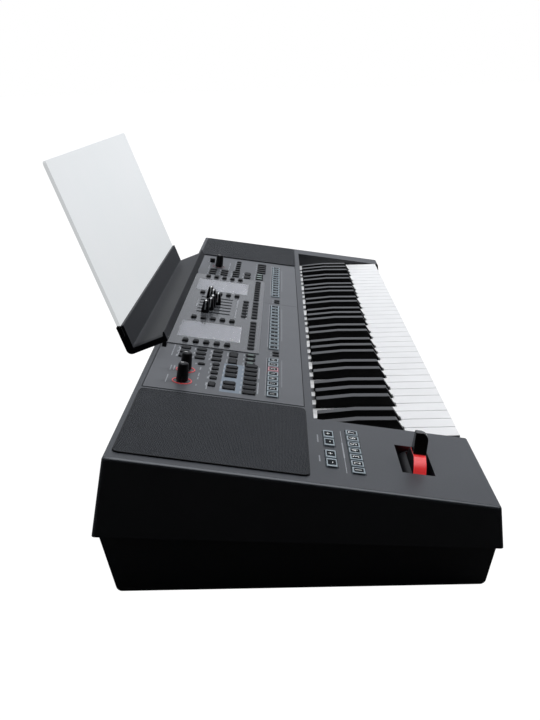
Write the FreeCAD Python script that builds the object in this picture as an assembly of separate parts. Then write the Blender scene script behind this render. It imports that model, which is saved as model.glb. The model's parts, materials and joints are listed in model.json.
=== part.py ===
import FreeCAD, Part
import math
import os

# An arranger keyboard with five octaves of keys, two loudspeakers, a control panel with
# two display windows, a bender lever and a lift-off music rest.
# Lengths are millimetres. X runs from the bass end to the treble end with zero at the
# middle of the case, Y from the front lip to the rear, Z up from the floor.
# Things on the sloping deck are made flat, with y along the deck and z off it,
# and then turned onto the deck.

# Case
left_cheek_width = 147.7
right_cheek_width = 44.3
key_side_gap = 3.5
case_depth = 329.0
front_skirt_height = 38.2
rear_skirt_height = 55.8
front_edge_height = 74.4
rear_edge_height = 124.4
front_setback = 2.9
rear_setback = 13.7
case_wall = 3.2
case_edge_radius = 3.2
bay_depth = 146.0
bay_lip_drop = 11.0
keyslip_height = 54.0
cut_overrun = 12.0
part_gap = 0.3
seat_gap = 0.1
edge_match = 0.01
# Flats round the knobs, light rings, loudspeakers and the bender's barrel
round_sides = 24

# Bottom tub
tub_bottom_height = 1.8
tub_floor = 4.0
tub_wall = 2.5
tub_bottom_inset = 9.0
tub_side_draft_share = 0.08
tub_front_top = 4.4
tub_front_bottom = 12.3
tub_rear_inset = 5.0
tub_rear_bottom_inset = 15.9
tub_edge_radius = 5.0
tub_rim_height = 3.0
tub_rib = 2.5
tub_rib_shares = (0.02, 0.26, 0.5, 0.74, 0.98)
tub_rib_front = 15.0

# Feet and case screws
foot_width = 26.0
foot_depth = 14.0
foot_inset = 40.0
post_size = 8.0
post_bore_gap = 0.25
post_bore_depth = 14.0
screw_radius = 1.4
screw_head_radius = 3.4
screw_head = 1.8
screw_hole_gap = 0.6
post_side_inset = 24.0
post_front_inset = 25.0
post_rear_inset = 29.0

# Keys
key_pitch = 23.5
key_gap = 1.0
octave_count = 5
white_front = 8.7
white_top_height = 76.0
white_body = 20.0
key_head_gap = 1.0
white_lip = 1.5
white_lip_depth = 4.0
black_width = 10.5
black_top_width = 9.4
black_cap_height = 11.8
black_front = 59.4
black_rake = 7.0
black_cap_rear = 141.0
black_rear_drop = 2.8
black_body = 18.0
black_side_gap = 0.9
key_heel = 6.0
key_wall = 2.0
key_pocket_setback = 15.0
pivot_depth = 207.0
pivot_drop = 14.0
pivot_radius = 2.0
key_dip = 10.0
# How far each black key stands from the joint between its two white keys
sharp_offset = 2.3
outer_sharp_offset = 3.4

# Keybed under the keys
chassis_sheet = 1.5
chassis_drop = 36.0
chassis_front = 14.0
chassis_overhang = 19.0
chassis_front_wall = 4.5
chassis_rear_wall = 17.0
rail_web = 2.0
rail_foot = 12.0
rail_foot_height = 1.5
contact_board_front = 88.0
contact_board_depth = 34.0
board_thickness = 1.6
contact_strip_inset = 11.0
contact_strip_height = 6.8
contact_strip_taper = 3.0
felt_front = 16.0
felt_depth = 12.0
felt_height = 4.2
spring_width = 4.0
spring_leaf = 0.5
spring_reach = 57.0
spring_rise = 9.0

# Control panel
panel_side_gap = 8.0
panel_bay_margin = 10.5
panel_rear_margin = 6.8
panel_groove = 0.9
panel_recess = 1.8
panel_proud = 0.4
panel_ledge = 5.0
panel_boss = 5.0
panel_boss_x_shares = (0.012, 0.15, 0.85, 0.988)
panel_boss_y_shares = (0.1, 0.9)
panel_board_inset = 12.0
board_drop = 8.0
panel_joint_share = 0.5907
panel_joint_width = 0.5
panel_joint_depth = 0.6

# Display panel and its windows
display_width_share = 0.55733
display_depth_share = 0.675
display_left_share = 0.2235
display_front_share = 0.302
display_thickness = 1.2
display_overlap = 4.0
display_boss_x_shares = (0.03, 0.38, 0.97)
display_boss_y_share = 0.91
window_width = 72.0
window_depth_share = 0.6923
window_thickness = 1.0
window_x_shares = (0.18, 0.82)
window_y_share = 0.567
lcd_border = 4.0
lcd_height = 5.0

# Buttons
button_hole_gap = 0.35
button_flange = 0.9
button_flange_height = 1.0
button_draft = 0.4
soft_height = 2.6
row_height = 1.6
section_height = 1.6
press_travel = 0.8
soft_width = 10.0
soft_depth_share = 0.0627
soft_x_shares = (0.039, 0.32, 0.68, 0.961)
soft_y_shares = (0.8025, 0.6895, 0.5765, 0.4634, 0.3504)
row_width = 7.8
row_depth_share = 0.0712
row_pitch_share = 0.03724
row_count = 9
row_first_shares = (0.0397, 0.666)
row_y_share = 0.096
fader_row_y_share = 0.221
square_width = 9.2
square_depth_share = 0.0673
wide_width = 17.8
wide_depth_share = 0.0577
small_width = 6.6
small_depth_share = 0.0449
slim_width = 8.6
slim_wide_width = 13.2
tall_width = 9.8
tall_depth_share = 0.0769
large_width = 9.8
large_depth_share = 0.0833
large_pitch_share = 0.0212
left_column_shares = (0.164, 0.1865, 0.209)
right_column_shares = (0.804, 0.826, 0.848)
column_row_shares = (0.821, 0.7075, 0.594, 0.36)
wide_row_share = 0.48
left_wide_shares = (0.167, 0.2017)
right_wide_shares = (0.8077, 0.8425)
left_single_share = 0.1335
left_single_y_share = 0.685
left_slim_shares = (0.0726, 0.0972, 0.1183, 0.1393)
left_slim_wide_share = 0.0428
slim_row_share = 0.587
left_tall_shares = (0.0363, 0.0573, 0.0929, 0.1147, 0.1357)
tall_row_share = 0.477
left_large_share = 0.0254
left_large_count = 7
large_row_share = 0.347
right_slim_shares = (0.872, 0.8957, 0.9195, 0.9432, 0.967)
right_large_shares = (0.8766, 0.8991, 0.9216, 0.9441, 0.9666)
small_row_share = 0.1816
left_small_shares = (0.2293, 0.2453)
right_small_shares = (0.602, 0.618)
round_button_radius = 4.0
round_button_height = 6.0
round_button_share = 0.932
round_button_y_share = 0.86

# Pads along the front of the panel and on the left cheek
pad_width = 14.5
pad_depth_share = 0.0769
pad_height = 1.4
pad_row_share = 0.198
pad_first_shares = (0.0298, 0.2714, 0.66)
pad_counts = (8, 13, 13)
pad_pitch_share = 0.02395
octave_pad_width = 17.2
octave_pad_depth = 9.8
octave_pad_shares = (0.305, 0.433, 0.616, 0.745)
octave_pad_y_share = 0.933
number_pad_width = 12.4
number_pad_depth = 11.5
number_pad_pitch = 14.1
number_pad_count = 7
number_pad_share = 0.24
number_pad_y_share = 0.784
cheek_board_inset = 5.0
cheek_post = 5.0

# Sliders
slider_count = 6
slider_pitch_share = 0.04193
slider_first_share = 0.406
slider_y_share = 0.596
slider_slot_width = 2.0
slider_slot_share = 0.4036
slider_travel_share = 0.753
slider_stem = 1.2
slider_stem_depth = 5.0
slider_pot_width = 9.0
slider_pot_end = 5.0
slider_pot_gap = 0.7
slider_pot_floor = 1.5
slider_stem_gap = 0.5
slider_cap_width = 9.0
slider_cap_depth = 9.6
slider_cap_top_width = 8.4
slider_cap_top_depth = 5.8
slider_cap_height = 14.6
slider_cap_gap = 0.6
slider_cap_chamfer = 0.7
slider_cap_step_share = 0.16
# Where each slider stands at rest, as a share of its travel from the middle
slider_rest_shares = (0.33, 0.17, 0.13, -0.06, 0.17, 0.31)

# Rotary knobs
knob_radius = 6.0
knob_top_radius = 5.2
knob_height = 18.5
knob_gap = 0.8
knob_shaft_radius = 3.0
knob_hole_gap = 0.6
knob_turn_degrees = 150.0
knob_x_shares = (0.0424, 0.0962, 0.8877)
knob_y_shares = (0.776, 0.776, 0.781)
knob_pot_size = 13.0
knob_pot_height = 5.5
ring_outer_radius = 10.0
ring_width = 1.0
ring_height = 0.5

# Grilles and loudspeakers
grille_width = 157.5
grille_rear_margin = 5.9
grille_side_inset = 12.5
grille_bay_margin = 9.5
grille_proud = 1.4
grille_corner = 5.0
grille_edge = 0.7
speaker_hole_radius = 40.0
speaker_radius = 46.0
speaker_magnet_radius = 26.0
speaker_coil_radius = 10.0
speaker_cone_depth = 15.0
speaker_depth = 23.0

# Bender lever
bender_width = 61.0
bender_depth = 28.0
bender_x_share = 0.518
bender_y_share = 0.43
bender_housing_wall = 2.5
bender_housing_depth = 27.0
bender_pivot_drop = 14.5
cradle_radius = 11.5
cradle_end_gap = 3.0
cradle_slot = 50.0
cradle_pin_radius = 2.0
cradle_push_degrees = 18.0
lever_slot_offset = 2.4
lever_width = 11.6
lever_slot_gap = 0.4
lever_radius = 24.0
lever_foot_height = 22.1
lever_pin_radius = 1.5
lever_pin_gap = 0.05
lever_skirt = 5.0
lever_height = 41.1
lever_foot_depth = 14.0
lever_tip_depth = 7.0
lever_shoulder_radius = 7.0
lever_edge_radius = 1.0
lever_swing_degrees = 25.0

# Music rest
rest_width = 491.0
rest_tilt_degrees = 20.0
rest_valley_setback = 3.0
rest_valley_rise = 10.6
rest_wall = 8.5
rest_wall_height = 25.0
rest_shelf = 37.0
rest_shelf_thickness = 8.0
rest_lip = 3.0
rest_lip_width = 3.0
rest_corner_radius = 6.0
rest_end_chamfer = 6.0
rest_end_drop = 1.5
rest_leg_spread = 203.0
rest_leg_width = 8.0
rest_leg_depth = 4.6
rest_leg_inset = 4.06
rest_leg_reach = 8.0
rest_lift = 50.0
rest_board_thickness = 4.0
rest_board_height = 195.0
rest_board_slot = 12.0
rest_board_setback = 3.0
rest_board_corner = 5.0
rest_slot_gap = 0.05

# Rear sockets
rear_plate_width = 330.0
rear_plate_height = 30.0
rear_plate_bottom = 68.0
rear_plate_setback = 20.5
rear_plate_wall = 2.5
rear_plate_gap = 0.2
jack_count = 4
jack_pitch = 30.0
jack_first_share = 0.07
jack_bore = 3.2
jack_neck = 9.0
jack_nut_radius = 6.8
jack_nut = 3.0
jack_end_wall = 2.0
jack_body = 14.0
jack_body_depth = 21.0
socket_x_shares = (0.55, 0.64)
socket_openings = ((12.5, 5.2), (8.5, 7.8))
socket_shell = 0.8
socket_depth = 14.0
socket_lead = 1.0
socket_tongue = 1.6
inlet_share = 0.78
inlet_bore = 2.85
inlet_size = 9.0
inlet_depth = 14.0
inlet_bore_depth = 11.0
switch_share = 0.92
switch_width = 13.0
switch_height = 8.0
switch_proud = 4.0
switch_travel = 2.0
switch_chamfer = 0.7
switch_flange = 1.2
switch_flange_depth = 1.5

# Main board on the tub floor
main_board_width = 300.0
main_board_gap = 11.0
main_board_rear_inset = 26.0
main_board_post = 6.0
main_board_lift = 7.0
main_board_chip = 24.0
main_board_chip_height = 3.0
main_board_chip_shares = (-0.3, 0.0, 0.25)

# Worked out from the values above
white_count = 7 * octave_count + 1
key_span = white_count * key_pitch
case_width = left_cheek_width + key_span + 2 * key_side_gap + right_cheek_width
case_left = -case_width / 2
case_right = case_width / 2
bay_left = case_left + left_cheek_width
bay_right = case_right - right_cheek_width
keys_left = bay_left + key_side_gap
deck_rise = rear_edge_height - front_edge_height
deck_run = case_depth - rear_setback - front_setback
deck_angle = math.degrees(math.atan2(deck_rise, deck_run))
deck_length = (case_depth - rear_setback) / math.cos(math.radians(deck_angle))
deck_slope = deck_rise / deck_run
deck_zero_height = front_edge_height - front_setback * deck_slope
deck_normal = (0, -math.sin(math.radians(deck_angle)), math.cos(math.radians(deck_angle)))
deck_forward = (0, math.cos(math.radians(deck_angle)), math.sin(math.radians(deck_angle)))
floor_height = tub_bottom_height + tub_floor
pivot_height = white_top_height - pivot_drop
chassis_height = white_top_height - chassis_drop
chassis_top = chassis_height + chassis_sheet
tub_rear_top = case_depth - tub_rear_inset
tub_rear_bottom = case_depth - tub_rear_bottom_inset
key_rear = pivot_depth + key_heel
key_pocket_rear = pivot_depth - key_pocket_setback
chassis_rear = pivot_depth + chassis_overhang
spring_front = pivot_depth - spring_reach
main_board_front = chassis_rear + main_board_gap
main_board_depth = case_depth - main_board_rear_inset - main_board_front
grille_front = bay_depth + grille_bay_margin
grille_depth = deck_length - grille_front - grille_rear_margin
panel_width = case_width - 2 * (grille_side_inset + grille_width + panel_side_gap)
panel_front = bay_depth + panel_bay_margin
panel_depth = deck_length - panel_front - panel_rear_margin
panel_left = -panel_width / 2
display_width = display_width_share * panel_width
display_depth = display_depth_share * panel_depth
window_depth = window_depth_share * display_depth
soft_depth = soft_depth_share * display_depth
row_depth = row_depth_share * display_depth
row_pitch = row_pitch_share * display_width
square_depth = square_depth_share * panel_depth
wide_depth = wide_depth_share * panel_depth
small_depth = small_depth_share * panel_depth
tall_depth = tall_depth_share * panel_depth
large_depth = large_depth_share * panel_depth
large_pitch = large_pitch_share * panel_width
pad_depth = pad_depth_share * panel_depth
pad_pitch = pad_pitch_share * panel_width
slider_pitch = slider_pitch_share * display_width
slider_slot = slider_slot_share * display_depth
slider_travel = slider_travel_share * slider_slot
rest_valley_y = case_depth + rest_valley_setback
rest_valley_height = rear_edge_height + rest_valley_rise
rear_plate_y = case_depth - rear_plate_setback
display_left = panel_left + display_left_share * panel_width
display_front = panel_front + display_front_share * panel_depth
display_top = panel_proud + display_thickness
board_top = -board_drop
key_press_degrees = math.degrees(math.asin(key_dip / (pivot_depth - white_front)))
rear_plate_left = -rear_plate_width / 2
rear_middle_height = rear_plate_bottom + rear_plate_height / 2
bender_x = case_left + bender_x_share * left_cheek_width
bender_y = bender_y_share * bay_depth
pitch_names = ("c", "c_sharp", "d", "d_sharp", "e", "f", "f_sharp", "g", "g_sharp", "a", "a_sharp", "b")
white_order = ("c", "d", "e", "f", "g", "a", "b")
# Each black key's step to one side of the joint above the white key it is named from
black_offsets = {
    "c_sharp": -sharp_offset,
    "d_sharp": sharp_offset,
    "f_sharp": -outer_sharp_offset,
    "g_sharp": 0,
    "a_sharp": outer_sharp_offset,
}

vector = FreeCAD.Vector
shapes = {}


def polygon_face(points):
    return Part.Face(Part.makePolygon(points + [points[0]]))


def prism_x(outline, x_from, x_to):
    face = polygon_face([vector(x_from, y, z) for y, z in outline])
    return face.extrude(vector(x_to - x_from, 0, 0))


def prism_y(outline, y_from, y_to):
    face = polygon_face([vector(x, y_from, z) for x, z in outline])
    return face.extrude(vector(0, y_to - y_from, 0))


def prism_z(outline, z_from, z_to):
    face = polygon_face([vector(x, y, z_from) for x, y in outline])
    return face.extrude(vector(0, 0, z_to - z_from))


def block(x_from, x_to, y_from, y_to, z_from, z_to):
    corner = vector(x_from, y_from, z_from)
    return Part.makeBox(x_to - x_from, y_to - y_from, z_to - z_from, corner)


def centred_block(x, y, width, depth, z_from, z_to):
    return block(x - width / 2, x + width / 2, y - depth / 2, y + depth / 2, z_from, z_to)


def facing_block(x, z, width, height, y_from, y_to):
    return block(x - width / 2, x + width / 2, y_from, y_to, z - height / 2, z + height / 2)


def upright(x, y, radius, z_from, z_to):
    return Part.makeCylinder(radius, z_to - z_from, vector(x, y, z_from))


def across(radius, x_from, x_to, y, z):
    return Part.makeCylinder(radius, x_to - x_from, vector(x_from, y, z), vector(1, 0, 0))


def along(radius, x, y_from, y_to, z):
    return Part.makeCylinder(radius, y_to - y_from, vector(x, y_from, z), vector(0, 1, 0))


def hexagon(across_middle, up_middle, radius):
    # Six corners at a radius round a middle, for nuts, screw heads and cored holes
    angles = [math.radians(60 * i) for i in range(6)]
    return [(across_middle + radius * math.cos(a), up_middle + radius * math.sin(a)) for a in angles]


def stacked(x, y, sections):
    # One solid through centred rectangles given as width, depth and height
    wires = []
    for width, depth, z in sections:
        half = width / 2
        reach = depth / 2
        corners = [(-half, -reach), (half, -reach), (half, reach), (-half, reach)]
        points = [vector(x + dx, y + dy, z) for dx, dy in corners]
        wires.append(Part.makePolygon(points + [points[0]]))
    return Part.makeLoft(wires, True, True)


def round_outline(across_middle, up_middle, radius):
    turns = [2 * math.pi * i / round_sides for i in range(round_sides)]
    return [(across_middle + radius * math.cos(a), up_middle + radius * math.sin(a)) for a in turns]


def many_sided(x, y, sections):
    # One solid through regular many-sided outlines given as radius and height
    rings = []
    for radius, z in sections:
        rings.append([vector(px, py, z) for px, py in round_outline(x, y, radius)])
    faces = [polygon_face(rings[0][::-1]), polygon_face(rings[-1])]
    for low, high in zip(rings, rings[1:]):
        for i in range(round_sides):
            faces.append(polygon_face([low[i - 1], low[i], high[i], high[i - 1]]))
    return Part.makeSolid(Part.makeShell(faces))


def edges_where(shape, test):
    return [edge for edge in shape.Edges if test(edge.CenterOfMass, edge)]


def on_deck(shape):
    placed = shape.copy()
    placed.rotate(vector(0, 0, 0), vector(1, 0, 0), deck_angle)
    placed.translate(vector(0, 0, deck_zero_height))
    return placed


def deck_point(x, y, z):
    start = vector(x, 0, deck_zero_height)
    return start + vector(*deck_forward) * y + vector(*deck_normal) * z


def deck_height(y):
    return deck_zero_height + y * deck_slope


def skirt_height(y):
    return front_skirt_height + (rear_skirt_height - front_skirt_height) * y / case_depth


def panel_place(x_share, y_share):
    return panel_left + x_share * panel_width, panel_front + y_share * panel_depth


def display_place(x_share, y_share):
    return display_left + x_share * display_width, display_front + y_share * display_depth


def cheek_place(x_share, y_share):
    return case_left + x_share * left_cheek_width, y_share * bay_depth


def save(name, solids):
    shapes[name] = Part.makeCompound(solids)


def button(place, width, depth, height, plate_bottom, plate_top):
    # A drafted cap with a flange under the plate at its front and rear
    flange_top = plate_bottom - seat_gap
    sections = (
        (width, depth + 2 * button_flange, flange_top - button_flange_height),
        (width, depth, flange_top),
        (width - 2 * button_draft, depth - 2 * button_draft, plate_top + height),
    )
    return stacked(place[0], place[1], sections)


def button_hole(place, width, depth, z_from, z_to):
    gap = 2 * button_hole_gap
    return centred_block(place[0], place[1], width + gap, depth + gap, z_from, z_to)


def soft_buttons():
    places = [(x, y) for x in soft_x_shares for y in soft_y_shares]
    return [(display_place(x, y), soft_width, soft_depth, soft_height) for x, y in places]


def slider_places():
    first_x, y = display_place(slider_first_share, slider_y_share)
    return [(first_x + i * slider_pitch, y) for i in range(slider_count)]


def row_buttons():
    buttons = []
    for first in row_first_shares:
        first_x, y = display_place(first, row_y_share)
        for i in range(row_count):
            buttons.append(((first_x + i * row_pitch, y), row_width, row_depth, row_height))
    for share in (row_y_share, fader_row_y_share):
        y = display_place(0, share)[1]
        for x, _ in slider_places():
            buttons.append(((x, y), row_width, row_depth, row_height))
    return buttons


def column_buttons(columns, wides, smalls):
    buttons = []
    for x in columns:
        for y in column_row_shares:
            buttons.append((panel_place(x, y), square_width, square_depth, section_height))
    for x in wides:
        buttons.append((panel_place(x, wide_row_share), wide_width, wide_depth, section_height))
    for x in smalls:
        buttons.append((panel_place(x, small_row_share), small_width, small_depth, pad_height))
    return buttons


def left_buttons():
    buttons = column_buttons(left_column_shares, left_wide_shares, left_small_shares)
    single = panel_place(left_single_share, left_single_y_share)
    buttons.append((single, small_width, small_depth, section_height))
    slim_wide = panel_place(left_slim_wide_share, slim_row_share)
    buttons.append((slim_wide, slim_wide_width, small_depth, section_height))
    for x in left_slim_shares:
        buttons.append((panel_place(x, slim_row_share), slim_width, small_depth, section_height))
    for x in left_tall_shares:
        buttons.append((panel_place(x, tall_row_share), tall_width, tall_depth, section_height))
    first_x, y = panel_place(left_large_share, large_row_share)
    for i in range(left_large_count):
        buttons.append(((first_x + i * large_pitch, y), large_width, large_depth, section_height))
    return buttons


def right_buttons():
    buttons = column_buttons(right_column_shares, right_wide_shares, right_small_shares)
    for x in right_slim_shares:
        buttons.append((panel_place(x, slim_row_share), slim_width, small_depth, section_height))
    for x in right_large_shares:
        buttons.append((panel_place(x, large_row_share), large_width, large_depth, section_height))
    return buttons


def front_pad_strips():
    strips = []
    for first, count in zip(pad_first_shares, pad_counts):
        first_x, y = panel_place(first, pad_row_share)
        places = [(first_x + i * pad_pitch, y) for i in range(count)]
        strips.append([(place, pad_width, pad_depth, pad_height) for place in places])
    return strips


def octave_pads():
    places = [cheek_place(x, octave_pad_y_share) for x in octave_pad_shares]
    return [(place, octave_pad_width, octave_pad_depth, pad_height) for place in places]


def number_pads():
    first_x, y = cheek_place(number_pad_share, number_pad_y_share)
    places = [(first_x + i * number_pad_pitch, y) for i in range(number_pad_count)]
    return [(place, number_pad_width, number_pad_depth, pad_height) for place in places]


def holes_for(buttons, z_from, z_to):
    return [button_hole(place, width, depth, z_from, z_to) for place, width, depth, height in buttons]


def strip_hole(strip, z_from, z_to):
    # One slot for a row of pads that stand side by side
    (first_x, y), width, depth, height = strip[0]
    last_x = strip[-1][0][0]
    middle = ((first_x + last_x) / 2, y)
    return button_hole(middle, width + last_x - first_x, depth, z_from, z_to)


def caps_for(buttons, plate_bottom, plate_top):
    return [on_deck(button(*each, plate_bottom, plate_top)) for each in buttons]


def rounded_plate(width, depth, corner, z_from, z_to, x, y):
    plate = centred_block(x, y, width, depth, z_from, z_to)
    corners = edges_where(plate, lambda middle, edge: abs(middle.z - (z_from + z_to) / 2) < edge_match)
    return plate.makeFillet(corner, corners)


def grille_places():
    offset = case_width / 2 - grille_side_inset - grille_width / 2
    y = grille_front + grille_depth / 2
    return [(-offset, y), (offset, y)]


def post_places():
    sides = (case_left + post_side_inset, case_right - post_side_inset)
    rows = (post_front_inset, case_depth - post_rear_inset)
    return [(x, y) for x in sides for y in rows]


def leg_places():
    y = panel_front + panel_depth - rest_leg_inset
    return [(-rest_leg_spread, y), (rest_leg_spread, y)]


def leg_slots(z_from, z_to):
    gap = 2 * part_gap
    return [
        centred_block(x, y, rest_leg_width + gap, rest_leg_depth + gap, z_from, z_to)
        for x, y in leg_places()
    ]


def top_block():
    outline = [
        (0, front_skirt_height),
        (front_setback, front_edge_height),
        (case_depth - rear_setback, rear_edge_height),
        (case_depth, rear_skirt_height),
    ]
    body = prism_x(outline, case_left, case_right)
    rounded = edges_where(body, lambda middle, edge: middle.z - skirt_height(middle.y) > edge_match)
    return body.makeFillet(case_edge_radius, rounded)


def top_cavity():
    ceiling = case_wall / math.cos(math.radians(deck_angle))
    low = front_skirt_height - cut_overrun
    front_top = front_setback + case_wall
    rear_top = case_depth - rear_setback - case_wall
    rear_lean = rear_setback / (rear_edge_height - rear_skirt_height)
    outline = [
        (case_wall, low),
        (case_wall, front_skirt_height),
        (front_top, deck_height(front_top) - ceiling),
        (rear_top, deck_height(rear_top) - ceiling),
        (case_depth - case_wall + rear_lean * (rear_skirt_height - low), low),
    ]
    cavity = prism_x(outline, case_left + case_wall, case_right - case_wall)
    high = rear_edge_height + cut_overrun
    wall_rear = bay_depth + case_wall
    lip_low = deck_height(bay_depth) - bay_lip_drop
    walls = [
        block(bay_left - case_wall, bay_left, -cut_overrun, wall_rear, 0, high),
        block(bay_right, bay_right + case_wall, -cut_overrun, wall_rear, 0, high),
        block(bay_left, bay_right, bay_depth, wall_rear, lip_low, high),
    ]
    return cavity.cut(walls)


def rear_opening(gap):
    x_reach = rear_plate_width / 2 + gap
    low = rear_plate_bottom - gap
    high = rear_plate_bottom + rear_plate_height + gap
    return block(-x_reach, x_reach, rear_plate_y - rear_plate_wall, case_depth + cut_overrun, low, high)


def deck_openings():
    through = -case_wall - cut_overrun
    middle_y = panel_front + panel_depth / 2
    gap = 2 * panel_groove
    ledge = 2 * panel_ledge
    cuts = [
        centred_block(0, middle_y, panel_width + gap, panel_depth + gap, -panel_recess, cut_overrun),
        centred_block(0, middle_y, panel_width - ledge, panel_depth - ledge, through, cut_overrun),
        centred_block(bender_x, bender_y, bender_width, bender_depth, through, cut_overrun),
    ]
    sound_hole = ((speaker_hole_radius, through), (speaker_hole_radius, cut_overrun))
    cuts += [many_sided(x, y, sound_hole) for x, y in grille_places()]
    cuts += holes_for(octave_pads(), through, cut_overrun)
    cuts.append(strip_hole(number_pads(), through, cut_overrun))
    cuts += leg_slots(through, cut_overrun)
    return [on_deck(cut) for cut in cuts]


def make_top_case():
    outer = top_block()
    high = rear_edge_height + cut_overrun
    bay = block(bay_left, bay_right, -cut_overrun, bay_depth, keyslip_height, high)
    shell = outer.cut(top_cavity()).cut([bay, rear_opening(rear_plate_gap)] + deck_openings())
    posts = [centred_block(x, y, post_size, post_size, floor_height, high) for x, y in post_places()]
    cheek_posts = [on_deck(post) for post in cheek_board_posts()]
    lower = outer.copy()
    lower.translate(vector(0, 0, -case_edge_radius / 2))
    skirt = block(case_left, case_right, 0, case_depth, 0, rear_skirt_height)
    inside = lower.fuse(skirt)
    shell = shell.fuse([post.common(inside) for post in posts] + cheek_posts)
    bore_top = floor_height + post_bore_depth
    post_bore = screw_radius + post_bore_gap
    bores = [prism_z(hexagon(x, y, post_bore), 0, bore_top) for x, y in post_places()]
    save("top_case", [shell.cut(bores).removeSplitter()])


def front_wall(z):
    lean = (tub_front_top - tub_front_bottom) / (front_skirt_height - tub_bottom_height)
    return tub_front_bottom + lean * (z - tub_bottom_height)


def rear_wall(z):
    lean = (tub_rear_top - tub_rear_bottom) / (rear_skirt_height - tub_bottom_height)
    return tub_rear_bottom + lean * (z - tub_bottom_height)


def side_wall(z):
    return case_width / 2 - tub_bottom_inset + tub_side_draft_share * (z - tub_bottom_height)


def tub_block(inset, z_low, rise):
    # A box with leaning walls whose top lies along the sloping joint with the top case
    front_z = skirt_height(tub_front_top) + rise
    rear_z = skirt_height(tub_rear_top) + rise
    levels = ((z_low, z_low), (front_z, rear_z))
    wires = []
    for front_level, rear_level in levels:
        front_x = side_wall(front_level) - inset
        rear_x = side_wall(rear_level) - inset
        front_y = front_wall(front_level) + inset
        rear_y = rear_wall(rear_level) - inset
        points = [
            vector(-front_x, front_y, front_level),
            vector(front_x, front_y, front_level),
            vector(rear_x, rear_y, rear_level),
            vector(-rear_x, rear_y, rear_level),
        ]
        wires.append(Part.makePolygon(points + [points[0]]))
    return Part.makeLoft(wires, True, True)


def tub_rim():
    front_lean = front_setback / (front_edge_height - front_skirt_height)
    rear_lean = rear_setback / (rear_edge_height - rear_skirt_height)
    front_y = case_wall + part_gap + front_lean * tub_rim_height
    rear_y = case_depth - case_wall - part_gap - rear_lean * tub_rim_height
    reach = case_width / 2 - case_wall - part_gap
    outline = [
        (front_y, skirt_height(front_y)),
        (rear_y, skirt_height(rear_y)),
        (rear_y, skirt_height(rear_y) + tub_rim_height),
        (front_y, skirt_height(front_y) + tub_rim_height),
    ]
    return prism_x(outline, -reach, reach)


def foot_places():
    reach = case_width / 2 - tub_bottom_inset - foot_inset
    rows = (tub_front_bottom + foot_inset, tub_rear_bottom - foot_inset)
    return [(x, y) for x in (-reach, reach) for y in rows]


def main_board_post_places():
    x = main_board_width / 2 - main_board_post
    rows = (main_board_front + main_board_post, main_board_front + main_board_depth - main_board_post)
    return [(side * x, y) for side in (-1, 1) for y in rows]


def cheek_wall_slots(z_low):
    # Where the inner walls of the cheeks reach down past the rim of the tub
    reach = case_wall + part_gap
    rear = bay_depth + reach
    return [
        block(bay_left - reach, bay_left + part_gap, 0, rear, z_low, rear_edge_height),
        block(bay_right - part_gap, bay_right + reach, 0, rear, z_low, rear_edge_height),
    ]


def make_bottom_case():
    outer = tub_block(0, tub_bottom_height, 0)
    low_edges = edges_where(outer, lambda middle, edge: middle.z < floor_height and abs(middle.x) < tub_wall)
    outer = outer.makeFillet(tub_edge_radius, low_edges).fuse(tub_rim())
    cavity = tub_block(tub_wall, floor_height, tub_rim_height + cut_overrun)
    tub = outer.cut(cavity)
    additions = []
    for share in tub_rib_shares:
        x = keys_left + share * key_span
        z_low = tub_bottom_height + tub_floor / 2
        reach = tub_rib / 2
        additions.append(block(x - reach, x + reach, tub_rib_front, chassis_rear, z_low, chassis_height))
    for x, y in main_board_post_places():
        z_low = tub_bottom_height + tub_floor / 2
        size = main_board_post
        additions.append(centred_block(x, y, size, size, z_low, floor_height + main_board_lift))
    tub = tub.fuse(additions)
    hole = screw_radius + screw_hole_gap
    cuts = [prism_z(hexagon(x, y, hole), 0, floor_height + cut_overrun) for x, y in post_places()]
    cuts += cheek_wall_slots(front_skirt_height - part_gap)
    save("bottom_case", [tub.cut(cuts).removeSplitter()])


def make_feet_and_screws():
    feet = [centred_block(x, y, foot_width, foot_depth, 0, tub_bottom_height) for x, y in foot_places()]
    save("rubber_feet", feet)
    screws = []
    seat = tub_bottom_height
    for x, y in post_places():
        head = prism_z(hexagon(x, y, screw_head_radius), seat - screw_head, seat)
        shank_top = floor_height + post_bore_depth - screw_head
        shank = prism_z(hexagon(x, y, screw_radius), seat - screw_head / 2, shank_top)
        screws.append(head.fuse(shank).removeSplitter())
    save("case_screws", screws)


def make_control_panel():
    z_low = -panel_recess
    middle_y = panel_front + panel_depth / 2
    plate = centred_block(0, middle_y, panel_width, panel_depth, z_low, panel_proud)
    low = z_low - cut_overrun
    high = panel_proud + cut_overrun
    inset = display_overlap
    cuts = [
        block(
            display_left + inset,
            display_left + display_width - inset,
            display_front + inset,
            display_front + display_depth - inset,
            low,
            high,
        )
    ]
    cuts += holes_for(left_buttons() + right_buttons(), low, high)
    cuts += [strip_hole(strip, low, high) for strip in front_pad_strips()]
    for x, y in knob_places():
        cuts.append(upright(x, y, knob_shaft_radius + knob_hole_gap, low, high))
    x, y = panel_place(round_button_share, round_button_y_share)
    cuts.append(upright(x, y, round_button_radius + button_hole_gap, low, high))
    cuts += leg_slots(low, high)
    joint_x = panel_place(panel_joint_share, 0)[0]
    joint_reach = panel_joint_width / 2
    joint_floor = panel_proud - panel_joint_depth
    joint_front = panel_front - cut_overrun
    joint_left = joint_x - joint_reach
    joint_right = joint_x + joint_reach
    cuts.append(block(joint_left, joint_right, joint_front, display_front, joint_floor, high))
    plate = plate.cut(cuts)
    bosses = []
    for x_share in panel_boss_x_shares:
        for y_share in panel_boss_y_shares:
            x, y = panel_place(x_share, y_share)
            bosses.append(centred_block(x, y, panel_boss, panel_boss, board_top, panel_proud / 2))
    save("control_panel", [on_deck(plate.fuse(bosses).removeSplitter())])


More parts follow.
